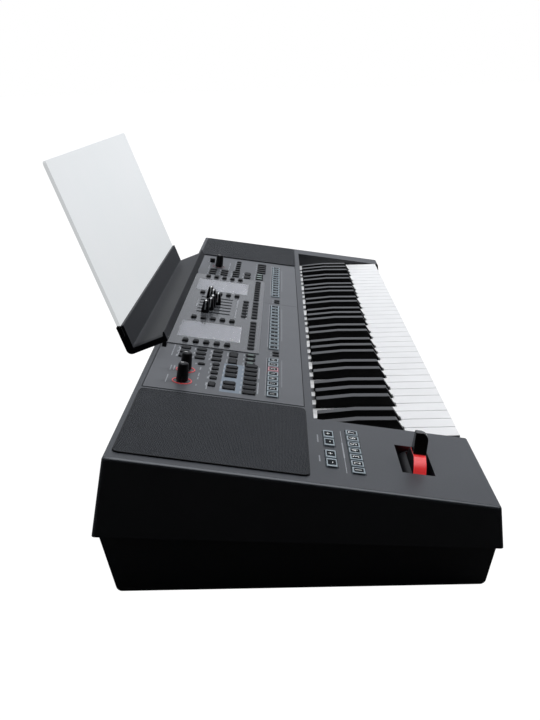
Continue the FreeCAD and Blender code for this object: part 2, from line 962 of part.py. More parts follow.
def make_display_panel():
    plate = block(
        display_left,
        display_left + display_width,
        display_front,
        display_front + display_depth,
        panel_proud,
        display_top,
    )
    low = panel_proud - cut_overrun
    high = display_top + cut_overrun
    cuts = holes_for(soft_buttons() + row_buttons(), low, high)
    for x, y in slider_places():
        cuts.append(centred_block(x, y, slider_slot_width, slider_slot, low, high))
    for x, y in window_places():
        cuts.append(centred_block(x, y, window_width, window_depth, low, high))
    plate = plate.cut(cuts)
    bosses = []
    for x_share in display_boss_x_shares:
        x, y = display_place(x_share, display_boss_y_share)
        bosses.append(centred_block(x, y, panel_boss, panel_boss, board_top, display_top - panel_proud / 2))
    save("display_panel", [on_deck(plate.fuse(bosses).removeSplitter())])


def window_places():
    return [display_place(share, window_y_share) for share in window_x_shares]


def make_windows():
    windows = []
    modules = []
    for x, y in window_places():
        width = window_width - 2 * seat_gap
        depth = window_depth - 2 * seat_gap
        window = centred_block(x, y, width, depth, display_top - window_thickness, display_top)
        windows.append(on_deck(window))
        width = window_width + 2 * lcd_border
        depth = window_depth + 2 * lcd_border
        top = panel_proud - seat_gap
        modules.append(on_deck(centred_block(x, y, width, depth, top - lcd_height, top)))
    save("display_windows", windows)
    save("lcd_modules", modules)


def cheek_board_area():
    x_low, y_low = cheek_place(number_pad_share, number_pad_y_share)
    x_high = number_pads()[-1][0][0]
    y_high = cheek_place(0, octave_pad_y_share)[1]
    return (
        x_low - number_pad_width / 2 - cheek_board_inset,
        x_high + number_pad_width / 2 + cheek_board_inset,
        y_low - number_pad_depth / 2 - cheek_board_inset,
        y_high + octave_pad_depth / 2,
    )


def cheek_board_posts():
    x_low, x_high, y_low, y_high = cheek_board_area()
    y = y_low + cheek_post / 2
    inset = cheek_post / 2
    z_top = -case_wall / 2
    places = (x_low + inset, x_high - inset)
    return [centred_block(x, y, cheek_post, cheek_post, board_top, z_top) for x in places]


def make_boards():
    inset = panel_board_inset
    main = block(
        panel_left + inset / 2,
        -panel_left - inset / 2,
        panel_front + inset / 2,
        panel_front + panel_depth - inset,
        board_top - board_thickness,
        board_top,
    )
    x_low, x_high, y_low, y_high = cheek_board_area()
    cheek = block(x_low, x_high, y_low, y_high, board_top - board_thickness, board_top)
    save("panel_boards", [on_deck(main), on_deck(cheek)])
    top = floor_height + main_board_lift + board_thickness
    half = main_board_width / 2
    rear = main_board_front + main_board_depth
    board = block(-half, half, main_board_front, rear, top - board_thickness, top)
    middle = main_board_front + main_board_depth / 2
    chips = []
    for share in main_board_chip_shares:
        x = share * main_board_width
        size = main_board_chip
        chip_top = top + main_board_chip_height
        chips.append(centred_block(x, middle, size, size, top - board_thickness / 2, chip_top))
    save("main_board", [board.fuse(chips).removeSplitter()])


def white_plan(x_low, x_high, cut_low, cut_high):
    # The outline of one white key, narrowed behind its head where black keys stand
    head_rear = black_front - key_head_gap
    outline = [(x_low, white_front), (x_high, white_front), (x_high, head_rear)]
    if cut_high:
        outline.append((x_high - cut_high, head_rear))
    outline.append((x_high - cut_high, key_rear))
    outline.append((x_low + cut_low, key_rear))
    if cut_low:
        outline.append((x_low + cut_low, head_rear))
    outline.append((x_low, head_rear))
    return outline


def pivot_notch(x_from, x_to):
    reach = pivot_radius + part_gap
    top = pivot_height + reach
    return block(x_from, x_to, pivot_depth - reach, pivot_depth + reach, 0, top)


def black_centres():
    centres = {}
    for name, offset in black_offsets.items():
        white = name.split("_")[0]
        centres[name] = (white_order.index(white) + 1) * key_pitch + offset
    return centres


def white_key(name, is_last):
    step = white_order.index(name)
    x_low = step * key_pitch + key_gap / 2
    x_high = (step + 1) * key_pitch - key_gap / 2
    cut_low = 0
    cut_high = 0
    reach = black_width / 2 + black_side_gap
    for centre in black_centres().values():
        if x_low < centre < x_high:
            middle = (x_low + x_high) / 2
            if centre > middle and not is_last:
                cut_high = x_high - centre + reach
            if centre < middle:
                cut_low = centre + reach - x_low
        elif x_high <= centre < x_high + reach and not is_last:
            cut_high = x_high - centre + reach
        elif x_low - reach < centre <= x_low:
            cut_low = centre + reach - x_low
    top = white_top_height
    bottom = top - white_body
    body = prism_z(white_plan(x_low, x_high, cut_low, cut_high), bottom, top)
    lip_rear = white_front + white_lip
    under_lip = block(x_low, x_high, white_front - cut_overrun, lip_rear, 0, top - white_lip_depth)
    pocket_low = x_low + cut_low + key_wall
    pocket_high = x_high - cut_high - key_wall
    pocket = block(pocket_low, pocket_high, lip_rear + key_wall, key_pocket_rear, 0, top - key_wall)
    return body.cut([under_lip, pocket, pivot_notch(x_low, x_high)]).removeSplitter()


def black_key(name):
    centre = black_centres()[name]
    cap_top = white_top_height + black_cap_height
    bottom = white_top_height - black_body
    rear_top = cap_top - black_rear_drop
    crown = (black_front + black_rake + black_cap_rear) / 2
    outline = [
        (black_front, bottom),
        (black_front, white_top_height),
        (black_front + black_rake, cap_top - black_rear_drop / 4),
        (crown, cap_top),
        (black_cap_rear, rear_top),
        (black_cap_rear, white_top_height),
        (key_rear, white_top_height),
        (key_rear, bottom),
    ]
    half = black_width / 2
    top_half = black_top_width / 2
    body = prism_x(outline, centre - half, centre + half)
    section = [
        (centre - half, bottom),
        (centre + half, bottom),
        (centre + half, white_top_height),
        (centre + top_half, cap_top),
        (centre - top_half, cap_top),
        (centre - half, white_top_height),
    ]
    body = body.common(prism_y(section, black_front - cut_overrun, key_rear + cut_overrun))
    return body.cut(pivot_notch(centre - half, centre + half)).removeSplitter()


def make_keys():
    octave_width = 7 * key_pitch
    for name in pitch_names:
        single = black_key(name) if name in black_offsets else white_key(name, False)
        copies = []
        for octave in range(octave_count):
            copy = single.copy()
            copy.translate(vector(keys_left + octave * octave_width, 0, 0))
            copies.append(copy)
        if name == "c":
            last = white_key(name, True)
            last.translate(vector(keys_left + octave_count * octave_width, 0, 0))
            copies.append(last)
        save(name + "_keys", copies)


def key_lever_centres():
    # The middle of every key's tail, counted from the bass end
    centres = []
    octave_width = 7 * key_pitch
    for octave in range(octave_count):
        for centre in black_centres().values():
            centres.append(keys_left + octave * octave_width + centre)
    for i in range(white_count):
        centres.append(keys_left + (i + 1 / 2) * key_pitch)
    return centres


def make_keybed():
    right = keys_left + key_span
    low = chassis_height
    sheet = chassis_sheet
    front_top = low + chassis_front_wall
    rear_top = low + chassis_rear_wall
    outline = [
        (chassis_front, low),
        (chassis_rear, low),
        (chassis_rear, rear_top),
        (chassis_rear - sheet, rear_top),
        (chassis_rear - sheet, chassis_top),
        (chassis_front + sheet, chassis_top),
        (chassis_front + sheet, front_top),
        (chassis_front, front_top),
    ]
    save("keybed_chassis", [prism_x(outline, keys_left, right)])
    foot = centred_block(0, pivot_depth, key_span, rail_foot, chassis_top, chassis_top + rail_foot_height)
    web = centred_block(0, pivot_depth, key_span, rail_web, chassis_top, pivot_height)
    middle = keys_left + key_span / 2
    rod = across(pivot_radius, -key_span / 2, key_span / 2, pivot_depth, pivot_height)
    rail = rod.fuse([foot, web]).removeSplitter()
    rail.translate(vector(middle, 0, 0))
    save("key_pivot_rail", [rail])
    board_z = chassis_top + board_thickness
    rear = contact_board_front + contact_board_depth
    save("key_contact_board", [block(keys_left, right, contact_board_front, rear, chassis_top, board_z)])
    strip_front = contact_board_front + contact_strip_inset
    strip_rear = rear - contact_strip_inset
    strip_top = board_z + contact_strip_height
    strip = [
        (strip_front, board_z),
        (strip_rear, board_z),
        (strip_rear - contact_strip_taper, strip_top),
        (strip_front + contact_strip_taper, strip_top),
    ]
    save("key_contact_strip", [prism_x(strip, keys_left, right)])
    felt_rear = felt_front + felt_depth
    felt_top = chassis_top + felt_height
    save("key_felt", [block(keys_left, right, felt_front, felt_rear, chassis_top, felt_top)])
    make_key_springs()


def make_key_springs():
    rear = pivot_depth - rail_foot / 2
    low = chassis_top
    outline = [
        (rear, low),
        (rear, low + spring_leaf),
        (spring_front, low + spring_rise + spring_leaf),
        (spring_front, low + spring_rise),
    ]
    leaves = []
    for x in key_lever_centres():
        leaves.append(prism_x(outline, x - spring_width / 2, x + spring_width / 2))
    save("key_springs", leaves)


def slider_rest(index):
    return slider_rest_shares[index] * slider_travel


def make_sliders():
    pots = []
    pot_top = panel_proud - slider_pot_gap
    for index, (x, y) in enumerate(slider_places()):
        length = slider_slot + 2 * slider_pot_end
        pot = centred_block(x, y, slider_pot_width, length, board_top, pot_top)
        groove_floor = board_top + slider_pot_floor
        groove = centred_block(x, y, slider_slot_width, slider_slot, groove_floor, pot_top + cut_overrun)
        pots.append(on_deck(pot.cut(groove)))
        cap_low = display_top + slider_cap_gap
        cap_y = y + slider_rest(index)
        step = slider_cap_step_share * slider_cap_height
        cap_top = cap_low + slider_cap_height
        chamfer = 2 * slider_cap_chamfer
        sections = (
            (slider_cap_width, slider_cap_depth, cap_low),
            (slider_cap_width, slider_cap_depth, cap_low + step),
            (slider_cap_top_width, slider_cap_top_depth, cap_top - slider_cap_chamfer),
            (slider_cap_top_width - chamfer, slider_cap_top_depth - chamfer, cap_top),
        )
        cap = stacked(x, cap_y, sections)
        stem_low = groove_floor + slider_stem_gap
        stem = centred_block(x, cap_y, slider_stem, slider_stem_depth, stem_low, cap_low + step)
        save("slider_cap_" + str(index + 1), [on_deck(cap.fuse(stem).removeSplitter())])
    save("slider_pots", pots)


def knob_places():
    return [panel_place(x, y) for x, y in zip(knob_x_shares, knob_y_shares)]


def make_knobs():
    names = ("left_outer_knob", "left_inner_knob", "right_knob")
    pots = []
    rings = []
    for name, (x, y) in zip(names, knob_places()):
        pot_top = board_top + knob_pot_height
        pot = centred_block(x, y, knob_pot_size, knob_pot_size, board_top, pot_top)
        pots.append(on_deck(pot))
        ring_top = panel_proud + ring_height
        ring = many_sided(x, y, ((ring_outer_radius, panel_proud), (ring_outer_radius, ring_top)))
        inner_radius = ring_outer_radius - ring_width
        hole = many_sided(x, y, ((inner_radius, 0), (inner_radius, ring_top + cut_overrun)))
        rings.append(on_deck(ring.cut(hole)))
        low = panel_proud + knob_gap
        body = many_sided(x, y, ((knob_radius, low), (knob_top_radius, low + knob_height)))
        shaft = prism_z(hexagon(x, y, knob_shaft_radius), pot_top + seat_gap, low + knob_gap)
        save(name, [on_deck(body.fuse(shaft).removeSplitter())])
    save("knob_pots", pots)
    save("knob_rings", rings)


def make_buttons():
    panel_low = -panel_recess
    save("display_buttons", caps_for(soft_buttons(), panel_proud, display_top))
    save("row_buttons", caps_for(row_buttons(), panel_proud, display_top))
    save("left_section_buttons", caps_for(left_buttons(), panel_low, panel_proud))
    x, y = panel_place(round_button_share, round_button_y_share)
    flange_top = panel_low - seat_gap
    flange_radius = round_button_radius + button_flange
    flange_low = flange_top - button_flange_height
    round_cap = upright(x, y, round_button_radius, flange_low, panel_proud + round_button_height)
    round_flange = centred_block(x, y, 2 * flange_radius, 2 * flange_radius, flange_low, flange_top)
    round_button = on_deck(round_cap.fuse(round_flange).removeSplitter())
    save("right_section_buttons", caps_for(right_buttons(), panel_low, panel_proud) + [round_button])
    save("panel_pads", caps_for(sum(front_pad_strips(), []), panel_low, panel_proud))
    save("cheek_pads", caps_for(octave_pads() + number_pads(), -case_wall, 0))


def make_grilles_and_speakers():
    names = ("left_grille", "right_grille")
    speakers = []
    for name, (x, y) in zip(names, grille_places()):
        plate = rounded_plate(grille_width, grille_depth, grille_corner, 0, grille_proud, x, y)
        top_edges = edges_where(plate, lambda middle, edge: middle.z > grille_proud - edge_match)
        save(name, [on_deck(plate.makeChamfer(grille_edge, top_edges))])
        top = -case_wall
        basket = ((speaker_magnet_radius, top - speaker_depth), (speaker_radius, top))
        cone = ((speaker_coil_radius, top - speaker_cone_depth), (speaker_hole_radius, top))
        speakers.append(on_deck(many_sided(x, y, basket).cut(many_sided(x, y, cone))))
    save("speakers", speakers)


def make_bender():
    x = bender_x
    y = bender_y
    axis_z = -bender_pivot_drop
    top = -case_wall
    bottom = top - bender_housing_depth
    wall = 2 * bender_housing_wall
    housing = centred_block(x, y, bender_width + wall, bender_depth + wall, bottom, top)
    housing = housing.cut(centred_block(x, y, bender_width, bender_depth, bottom - cut_overrun, 0))
    reach = (bender_width + wall) / 2
    bore = across(cradle_pin_radius + lever_pin_gap, x - reach, x + reach, y, axis_z)
    save("bender_housing", [on_deck(housing.cut(bore))])

    half = bender_width / 2 - cradle_end_gap
    barrel = prism_x(round_outline(y, axis_z, cradle_radius), x - half, x + half)
    pins = across(cradle_pin_radius, x - reach, x + reach, y, axis_z)
    lever_y = y - lever_slot_offset
    slot_width = lever_width + 2 * lever_slot_gap
    slot_low = axis_z - cradle_radius - cut_overrun
    slot = centred_block(x, lever_y, cradle_slot, slot_width, slot_low, cut_overrun)
    pin_hole = along(lever_pin_radius + lever_pin_gap, x, y - cradle_radius, y + cradle_radius, axis_z)
    cradle = barrel.fuse(pins).cut([slot, pin_hole]).removeSplitter()
    save("bender_cradle", [on_deck(cradle)])

    front = lever_y - lever_width / 2
    rear = lever_y + lever_width / 2
    disc = along(lever_radius, x, front, rear, axis_z)
    foot_top = axis_z + lever_foot_height
    keep = block(x - lever_radius, x + lever_radius, front, rear, axis_z - lever_skirt, foot_top)
    pin_reach = math.sqrt(cradle_radius ** 2 - lever_pin_radius ** 2)
    pin = along(lever_pin_radius, x, y - pin_reach, y + pin_reach, axis_z)
    save("bender_base", [on_deck(disc.common(keep).fuse(pin).removeSplitter())])

    tip = axis_z + lever_height
    outline = [
        (x - lever_foot_depth / 2, foot_top),
        (x + lever_foot_depth / 2, foot_top),
        (x + lever_tip_depth / 2, tip),
        (x - lever_tip_depth / 2, tip),
    ]
    grip = prism_y(outline, front, rear)
    top_edges = edges_where(grip, lambda middle, edge: middle.z > tip - edge_match)
    shoulder = [edge for edge in top_edges if edge.CenterOfMass.y < front + edge_match]
    grip = grip.makeFillet(lever_shoulder_radius, shoulder)
    top_edges = edges_where(grip, lambda middle, edge: middle.z > tip - edge_match)
    crest = [edge for edge in top_edges if edge.CenterOfMass.y > rear - edge_match]
    save("bender_grip", [on_deck(grip.makeFillet(lever_edge_radius, crest))])


def tilted(shape):
    # From the rest's own frame, upright with its inner corner at zero, to its tilted place
    placed = shape.copy()
    placed.rotate(vector(0, 0, 0), vector(1, 0, 0), -rest_tilt_degrees)
    placed.translate(vector(0, rest_valley_y, rest_valley_height))
    return placed


def make_music_rest():
    half = rest_width / 2
    outline = [
        (rest_wall, -rest_shelf_thickness),
        (rest_wall, rest_wall_height),
        (0, rest_wall_height),
        (0, 0),
        (rest_lip_width - rest_shelf, 0),
        (rest_lip_width / 2 - rest_shelf, rest_lip),
        (-rest_shelf, rest_lip),
        (-rest_shelf, -rest_shelf_thickness),
    ]
    tray = prism_x(outline, -half, half)
    bottom = edge_match - rest_shelf_thickness
    low_edge = edges_where(tray, lambda middle, edge: middle.y > rest_wall - edge_match and middle.z < bottom)
    tray = tray.makeFillet(rest_corner_radius, low_edge)
    slot_y = rest_board_setback
    slot_low = rest_wall_height - rest_board_slot
    gap = rest_slot_gap
    slot_rear = slot_y + rest_board_thickness + gap
    slot = block(-half, half, slot_y - gap, slot_rear, slot_low, rest_wall_height + cut_overrun)
    bevels = []
    for side in (-1, 1):
        end = [
            (side * half, 0),
            (side * half, -rest_end_drop),
            (side * (half - rest_end_chamfer), 0),
        ]
        bevels.append(prism_y(end, rest_lip_width - rest_shelf, 0))
    tray = tilted(tray.cut([slot] + bevels))
    tilt = math.radians(rest_tilt_degrees)
    legs = []
    for x, y in leg_places():
        foot = deck_point(x, y, 0)
        run = (rest_valley_y - foot.y) * math.tan(tilt)
        shelf_height = rest_valley_height + run - rest_shelf_thickness / (2 * math.cos(tilt))
        leg_top = (shelf_height - foot.z) * math.cos(math.radians(deck_angle))
        legs.append(on_deck(centred_block(x, y, rest_leg_width, rest_leg_depth, -rest_leg_reach, leg_top)))
    save("music_rest_tray", [tray.fuse(legs).removeSplitter()])
    board_low = slot_low + seat_gap
    board_high = board_low + rest_board_height
    board = block(-half, half, slot_y, slot_y + rest_board_thickness, board_low, board_high)
    corners = edges_where(
        board,
        lambda middle, edge: middle.z > board_high - edge_match and abs(middle.x) > half - edge_match,
    )
    save("music_rest_board", [tilted(board.makeFillet(rest_board_corner, corners))])


def rear_x(share):
    return rear_plate_left + share * rear_plate_width


def jack_places():
    return [rear_x(jack_first_share) + i * jack_pitch for i in range(jack_count)]


def make_rear_sockets():
    plate = rear_opening(0).common(top_block())
    x_reach = rear_plate_width / 2 - rear_plate_wall
    low = rear_plate_bottom + rear_plate_wall
    high = rear_plate_bottom + rear_plate_height - rear_plate_wall
    pocket = block(-x_reach, x_reach, rear_plate_y, case_depth + cut_overrun, low, high)
    back = rear_plate_y - rear_plate_wall
    z = rear_middle_height
    cuts = [pocket]
    jacks = []
    for x in jack_places():
        hole = jack_neck + 2 * seat_gap
        cuts.append(facing_block(x, z, hole, hole, back, rear_plate_y))
        body = facing_block(x, z, jack_body, jack_body, back - jack_body_depth, back)
        neck = facing_block(x, z, jack_neck, jack_neck, back, rear_plate_y)
        nut = prism_y(hexagon(x, z, jack_nut_radius), rear_plate_y, rear_plate_y + jack_nut)
        bore = along(jack_bore, x, back - jack_body_depth + jack_end_wall, rear_plate_y + jack_nut, z)
        jacks.append(body.fuse([neck, nut]).cut(bore).removeSplitter())
    save("phone_jacks", jacks)
    sockets = []
    for share, (width, height) in zip(socket_x_shares, socket_openings):
        x = rear_x(share)
        outer_width = width + 2 * socket_shell
        outer_height = height + 2 * socket_shell
        gap = 2 * seat_gap
        cuts.append(facing_block(x, z, outer_width + gap, outer_height + gap, back, rear_plate_y))
        mouth = rear_plate_y + socket_lead
        shell = facing_block(x, z, outer_width, outer_height, back - socket_depth, mouth)
        floor_y = back - socket_depth + socket_shell
        hollow = facing_block(x, z, width, height, floor_y, mouth)
        tongue = facing_block(x, z, width / 2, socket_tongue, floor_y - socket_shell / 2, rear_plate_y)
        sockets.append(shell.cut(hollow).fuse(tongue).removeSplitter())
    save("data_sockets", sockets)
    x = rear_x(inlet_share)
    hole = inlet_size + 2 * seat_gap
    cuts.append(facing_block(x, z, hole, hole, back, rear_plate_y))
    mouth = rear_plate_y + socket_lead
    inlet = facing_block(x, z, inlet_size, inlet_size, mouth - inlet_depth, mouth)
    save("dc_inlet", [inlet.cut(along(inlet_bore, x, mouth - inlet_bore_depth, mouth, z))])
    x = rear_x(switch_share)
    gap = 2 * part_gap
    cuts.append(facing_block(x, z, switch_width + gap, switch_height + gap, back, rear_plate_y))
    flange_rear = back - seat_gap
    flange_front = flange_rear - switch_flange_depth
    face_y = rear_plate_y + switch_proud
    wider = 2 * switch_flange
    cap = facing_block(x, z, switch_width, switch_height, flange_front, face_y)
    flange = facing_block(x, z, switch_width + wider, switch_height + wider, flange_front, flange_rear)
    face_edges = edges_where(cap, lambda middle, edge: middle.y > face_y - edge_match)
    save("power_switch", [cap.makeChamfer(switch_chamfer, face_edges).fuse(flange).removeSplitter()])
    save("rear_jack_plate", [plate.cut(cuts).removeSplitter()])


def origin_shift():
    # The origin is under the middle of the whole object, on the floor
    box = Part.makeCompound(list(shapes.values())).optimalBoundingBox(False, False)
    return vector(-(box.XMin + box.XMax) / 2, -(box.YMin + box.YMax) / 2, -box.ZMin)


def build():
    make_bottom_case()
    make_top_case()
    make_feet_and_screws()
    make_control_panel()
    make_display_panel()
    make_windows()
    make_boards()
    make_keybed()
    make_keys()
    make_sliders()
    make_knobs()
    make_buttons()
    make_grilles_and_speakers()
    make_bender()
    make_music_rest()
    make_rear_sockets()
    shift = origin_shift()
    for shape in shapes.values():
        shape.translate(shift)
    return shift


frame_shift = build()
os.makedirs("parts", exist_ok=True)
for node_name, node_shape in shapes.items():
    node_shape.exportStep("parts/" + node_name + ".step")
print(len(shapes), "nodes, origin moved by", frame_shift)
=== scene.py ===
import json
import math
import bmesh
import bpy
from mathutils import Matrix, Vector


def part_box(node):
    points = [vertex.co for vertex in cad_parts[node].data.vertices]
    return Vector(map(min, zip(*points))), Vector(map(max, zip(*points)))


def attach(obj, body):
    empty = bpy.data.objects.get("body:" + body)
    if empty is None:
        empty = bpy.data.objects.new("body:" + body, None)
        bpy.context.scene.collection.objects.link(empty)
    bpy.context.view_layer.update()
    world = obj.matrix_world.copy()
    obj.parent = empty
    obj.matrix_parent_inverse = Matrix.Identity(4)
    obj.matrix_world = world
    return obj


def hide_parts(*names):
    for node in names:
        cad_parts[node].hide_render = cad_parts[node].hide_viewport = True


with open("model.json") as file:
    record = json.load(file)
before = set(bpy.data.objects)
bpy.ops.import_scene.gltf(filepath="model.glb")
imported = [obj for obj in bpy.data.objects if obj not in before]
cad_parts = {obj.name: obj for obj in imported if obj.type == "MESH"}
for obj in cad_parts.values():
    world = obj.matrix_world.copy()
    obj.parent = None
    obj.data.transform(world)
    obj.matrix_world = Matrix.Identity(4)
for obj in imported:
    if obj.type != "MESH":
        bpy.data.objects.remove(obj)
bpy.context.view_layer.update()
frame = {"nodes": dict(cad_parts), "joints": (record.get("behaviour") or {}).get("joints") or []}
nodes = frame["nodes"]
joints = {joint["name"]: joint for joint in frame["joints"]}
scene = bpy.context.scene
mm = 0.001
print("frame loaded:", len(nodes), "nodes")

# the deck's own frame: x along the keys, y up the slope from the front lip, z off the deck
caseLow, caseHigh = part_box("top_case")
deckNormal = Vector(joints["left_outer_knob_turn"]["axis"])
deckForward = Vector(joints["slider_cap_1_slide"]["axis"])
deckSpot = Vector(joints["left_outer_knob_turn"]["pos_m"])
deckSlope = deckForward.z / deckForward.y
deckStart = Vector((0, caseLow.y, deckSpot.z - (deckSpot.y - caseLow.y) * deckSlope))
deckMatrix = Matrix((Vector((1, 0, 0)), deckForward, deckNormal)).transposed().to_4x4()
deckMatrix.translation = deckStart
deckInverse = deckMatrix.inverted()


def linear(hexColour):
    # sRGB hex to the linear colour that sockets take
    channels = [int(hexColour[i:i + 2], 16) / 255 for i in (0, 2, 4)]
    return [c / 12.92 if c <= 0.04045 else ((c + 0.055) / 1.055) ** 2.4 for c in channels] + [1]


def addNode(tree, kind, settings=None, links=None):
    # one node, its settings by socket name, socket number or property, and its incoming links
    node = tree.nodes.new(kind)
    for key, value in (settings or {}).items():
        if isinstance(key, int) or key in node.inputs:
            node.inputs[key].default_value = value
        else:
            setattr(node, key, value)
    for key, source in (links or {}).items():
        tree.links.new(source, node.inputs[key])
    return node


def startMaterial(name):
    material = bpy.data.materials.new(name)
    material.use_nodes = True
    tree = material.node_tree
    tree.nodes.clear()
    place = addNode(tree, "ShaderNodeTexCoord").outputs["Object"]
    return material, tree, place


def endMaterial(tree, shader):
    addNode(tree, "ShaderNodeOutputMaterial", links={"Surface": shader.outputs[0]})


def noise(tree, place, sizeMm, detail):
    # a noise pattern of this size in millimetres
    settings = {"Scale": 1 / (sizeMm * mm), "Detail": detail}
    return addNode(tree, "ShaderNodeTexNoise", settings, {"Vector": place})


def around(tree, source, middle, spread):
    # a noise pattern as values on both sides of a middle one
    settings = {"To Min": middle - spread, "To Max": middle + spread}
    pattern = {"Value": source.outputs["Fac"]}
    return addNode(tree, "ShaderNodeMapRange", settings, pattern).outputs["Result"]


def ramp(tree, source, dark, light, spread):
    # two close shades, blended over the middle of a noise pattern
    colour = addNode(tree, "ShaderNodeValToRGB", links={"Fac": source.outputs["Fac"]})
    for element, side, shade in zip(colour.color_ramp.elements, (-1, 1), (dark, light)):
        element.position = 0.5 + side * spread
        element.color = linear(shade)
    return colour


# what a plastic has unless its own line says otherwise
plainPlastic = dict(
    roughness=0.45,
    spread=0.05,
    ior=1.5,
    specular=0.5,
    coat=0,
    coatRoughness=0.06,
    grain=0.1,
    grainMm=0.5,
    depthMm=0.03,
    cloudMm=20,
    cloudSpread=0.15,
)
acrylicIor = 1.49
glowSpread = 0.4


def mouldedPlastic(name, values):
    # ABS from a textured mould: an even colour, a fine grain that breaks the gloss, slight cloudiness
    material, tree, place = startMaterial(name)
    grain = noise(tree, place, values["grainMm"], detail=2.0)
    cloud = noise(tree, place, values["cloudMm"], detail=3.0)
    colour = ramp(tree, cloud, values["dark"], values["light"], values["cloudSpread"])
    gloss = around(tree, grain, values["roughness"], values["spread"])
    relief = {"Strength": values["grain"], "Distance": values["depthMm"] * mm}
    bump = addNode(tree, "ShaderNodeBump", relief, {"Height": grain.outputs["Fac"]})
    shader = addNode(
        tree,
        "ShaderNodeBsdfPrincipled",
        {
            "IOR": values["ior"],
            "Specular IOR Level": values["specular"],
            "Coat Weight": values["coat"],
            "Coat Roughness": values["coatRoughness"],
        },
        {
            "Base Color": colour.outputs["Color"],
            "Roughness": gloss,
            "Normal": bump.outputs["Normal"],
        },
    )
    endMaterial(tree, shader)
    return material


def platedSteel(name, values):
    # zinc or nickel plate on sheet steel: a cool metal with a faint drawn streak
    material, tree, place = startMaterial(name)
    drawn = {"Scale": (values["stretch"], 1, 1)}
    stretch = addNode(tree, "ShaderNodeMapping", drawn, {"Vector": place})
    streak = noise(tree, stretch.outputs["Vector"], values["streakMm"], detail=3.0)
    settings = {"Base Color": linear(values["colour"]), "Metallic": 1.0}
    gloss = around(tree, streak, values["roughness"], values["spread"])
    shader = addNode(tree, "ShaderNodeBsdfPrincipled", settings, {"Roughness": gloss})
    endMaterial(tree, shader)
    return material


def glowPlastic(name, values):
    # a tinted translucent plastic with a glossy skin and an even glow: a real lamp under the lit rings and
    # pad, painted light standing in for the light that falls on the lever, the music rest board and the LCD
    material, tree, place = startMaterial(name)
    cloud = noise(tree, place, values["cloudMm"], detail=2.0)
    colour = ramp(tree, cloud, values["dark"], values["light"], glowSpread).outputs["Color"]
    settings = {"Roughness": values["roughness"], "IOR": acrylicIor, "Emission Strength": values["glow"]}
    tinted = {"Base Color": colour, "Emission Color": colour}
    shader = addNode(tree, "ShaderNodeBsdfPrincipled", settings, tinted)
    endMaterial(tree, shader)
    return material


def clearAcrylic(name, values):
    # a thin clear window with a faint polish
    material, tree, place = startMaterial(name)
    smear = noise(tree, place, values["smearMm"], detail=2.0)
    gloss = around(tree, smear, values["roughness"], values["spread"])
    settings = {
        "Base Color": linear(values["colour"]),
        "IOR": acrylicIor,
        "Transmission Weight": 1.0,
        "Specular IOR Level": values["specular"],
    }
    shader = addNode(tree, "ShaderNodeBsdfPrincipled", settings, {"Roughness": gloss})
    endMaterial(tree, shader)
    return material


def pressedFelt(name, values):
    # wool felt: a soft nap with a sheen and no gloss
    material, tree, place = startMaterial(name)
    nap = noise(tree, place, values["napMm"], detail=4.0)
    relief = {"Strength": values["grain"], "Distance": values["depthMm"] * mm}
    bump = addNode(tree, "ShaderNodeBump", relief, {"Height": nap.outputs["Fac"]})
    settings = {
        "Base Color": linear(values["colour"]),
        "Roughness": values["roughness"],
        "Sheen Weight": values["sheen"],
    }
    shader = addNode(tree, "ShaderNodeBsdfPrincipled", settings, {"Normal": bump.outputs["Normal"]})
    endMaterial(tree, shader)
    return material


def printedInk(name, values):
    # screen print: a thin even film, slightly broken where it is worn
    material, tree, place = startMaterial(name)
    wear = noise(tree, place, values["wearMm"], detail=3.0)
    gloss = around(tree, wear, values["roughness"], values["spread"])
    settings = {"Base Color": linear(values["colour"]), "Specular IOR Level": values["specular"]}
    shader = addNode(tree, "ShaderNodeBsdfPrincipled", settings, {"Roughness": gloss})
    endMaterial(tree, shader)
    return material


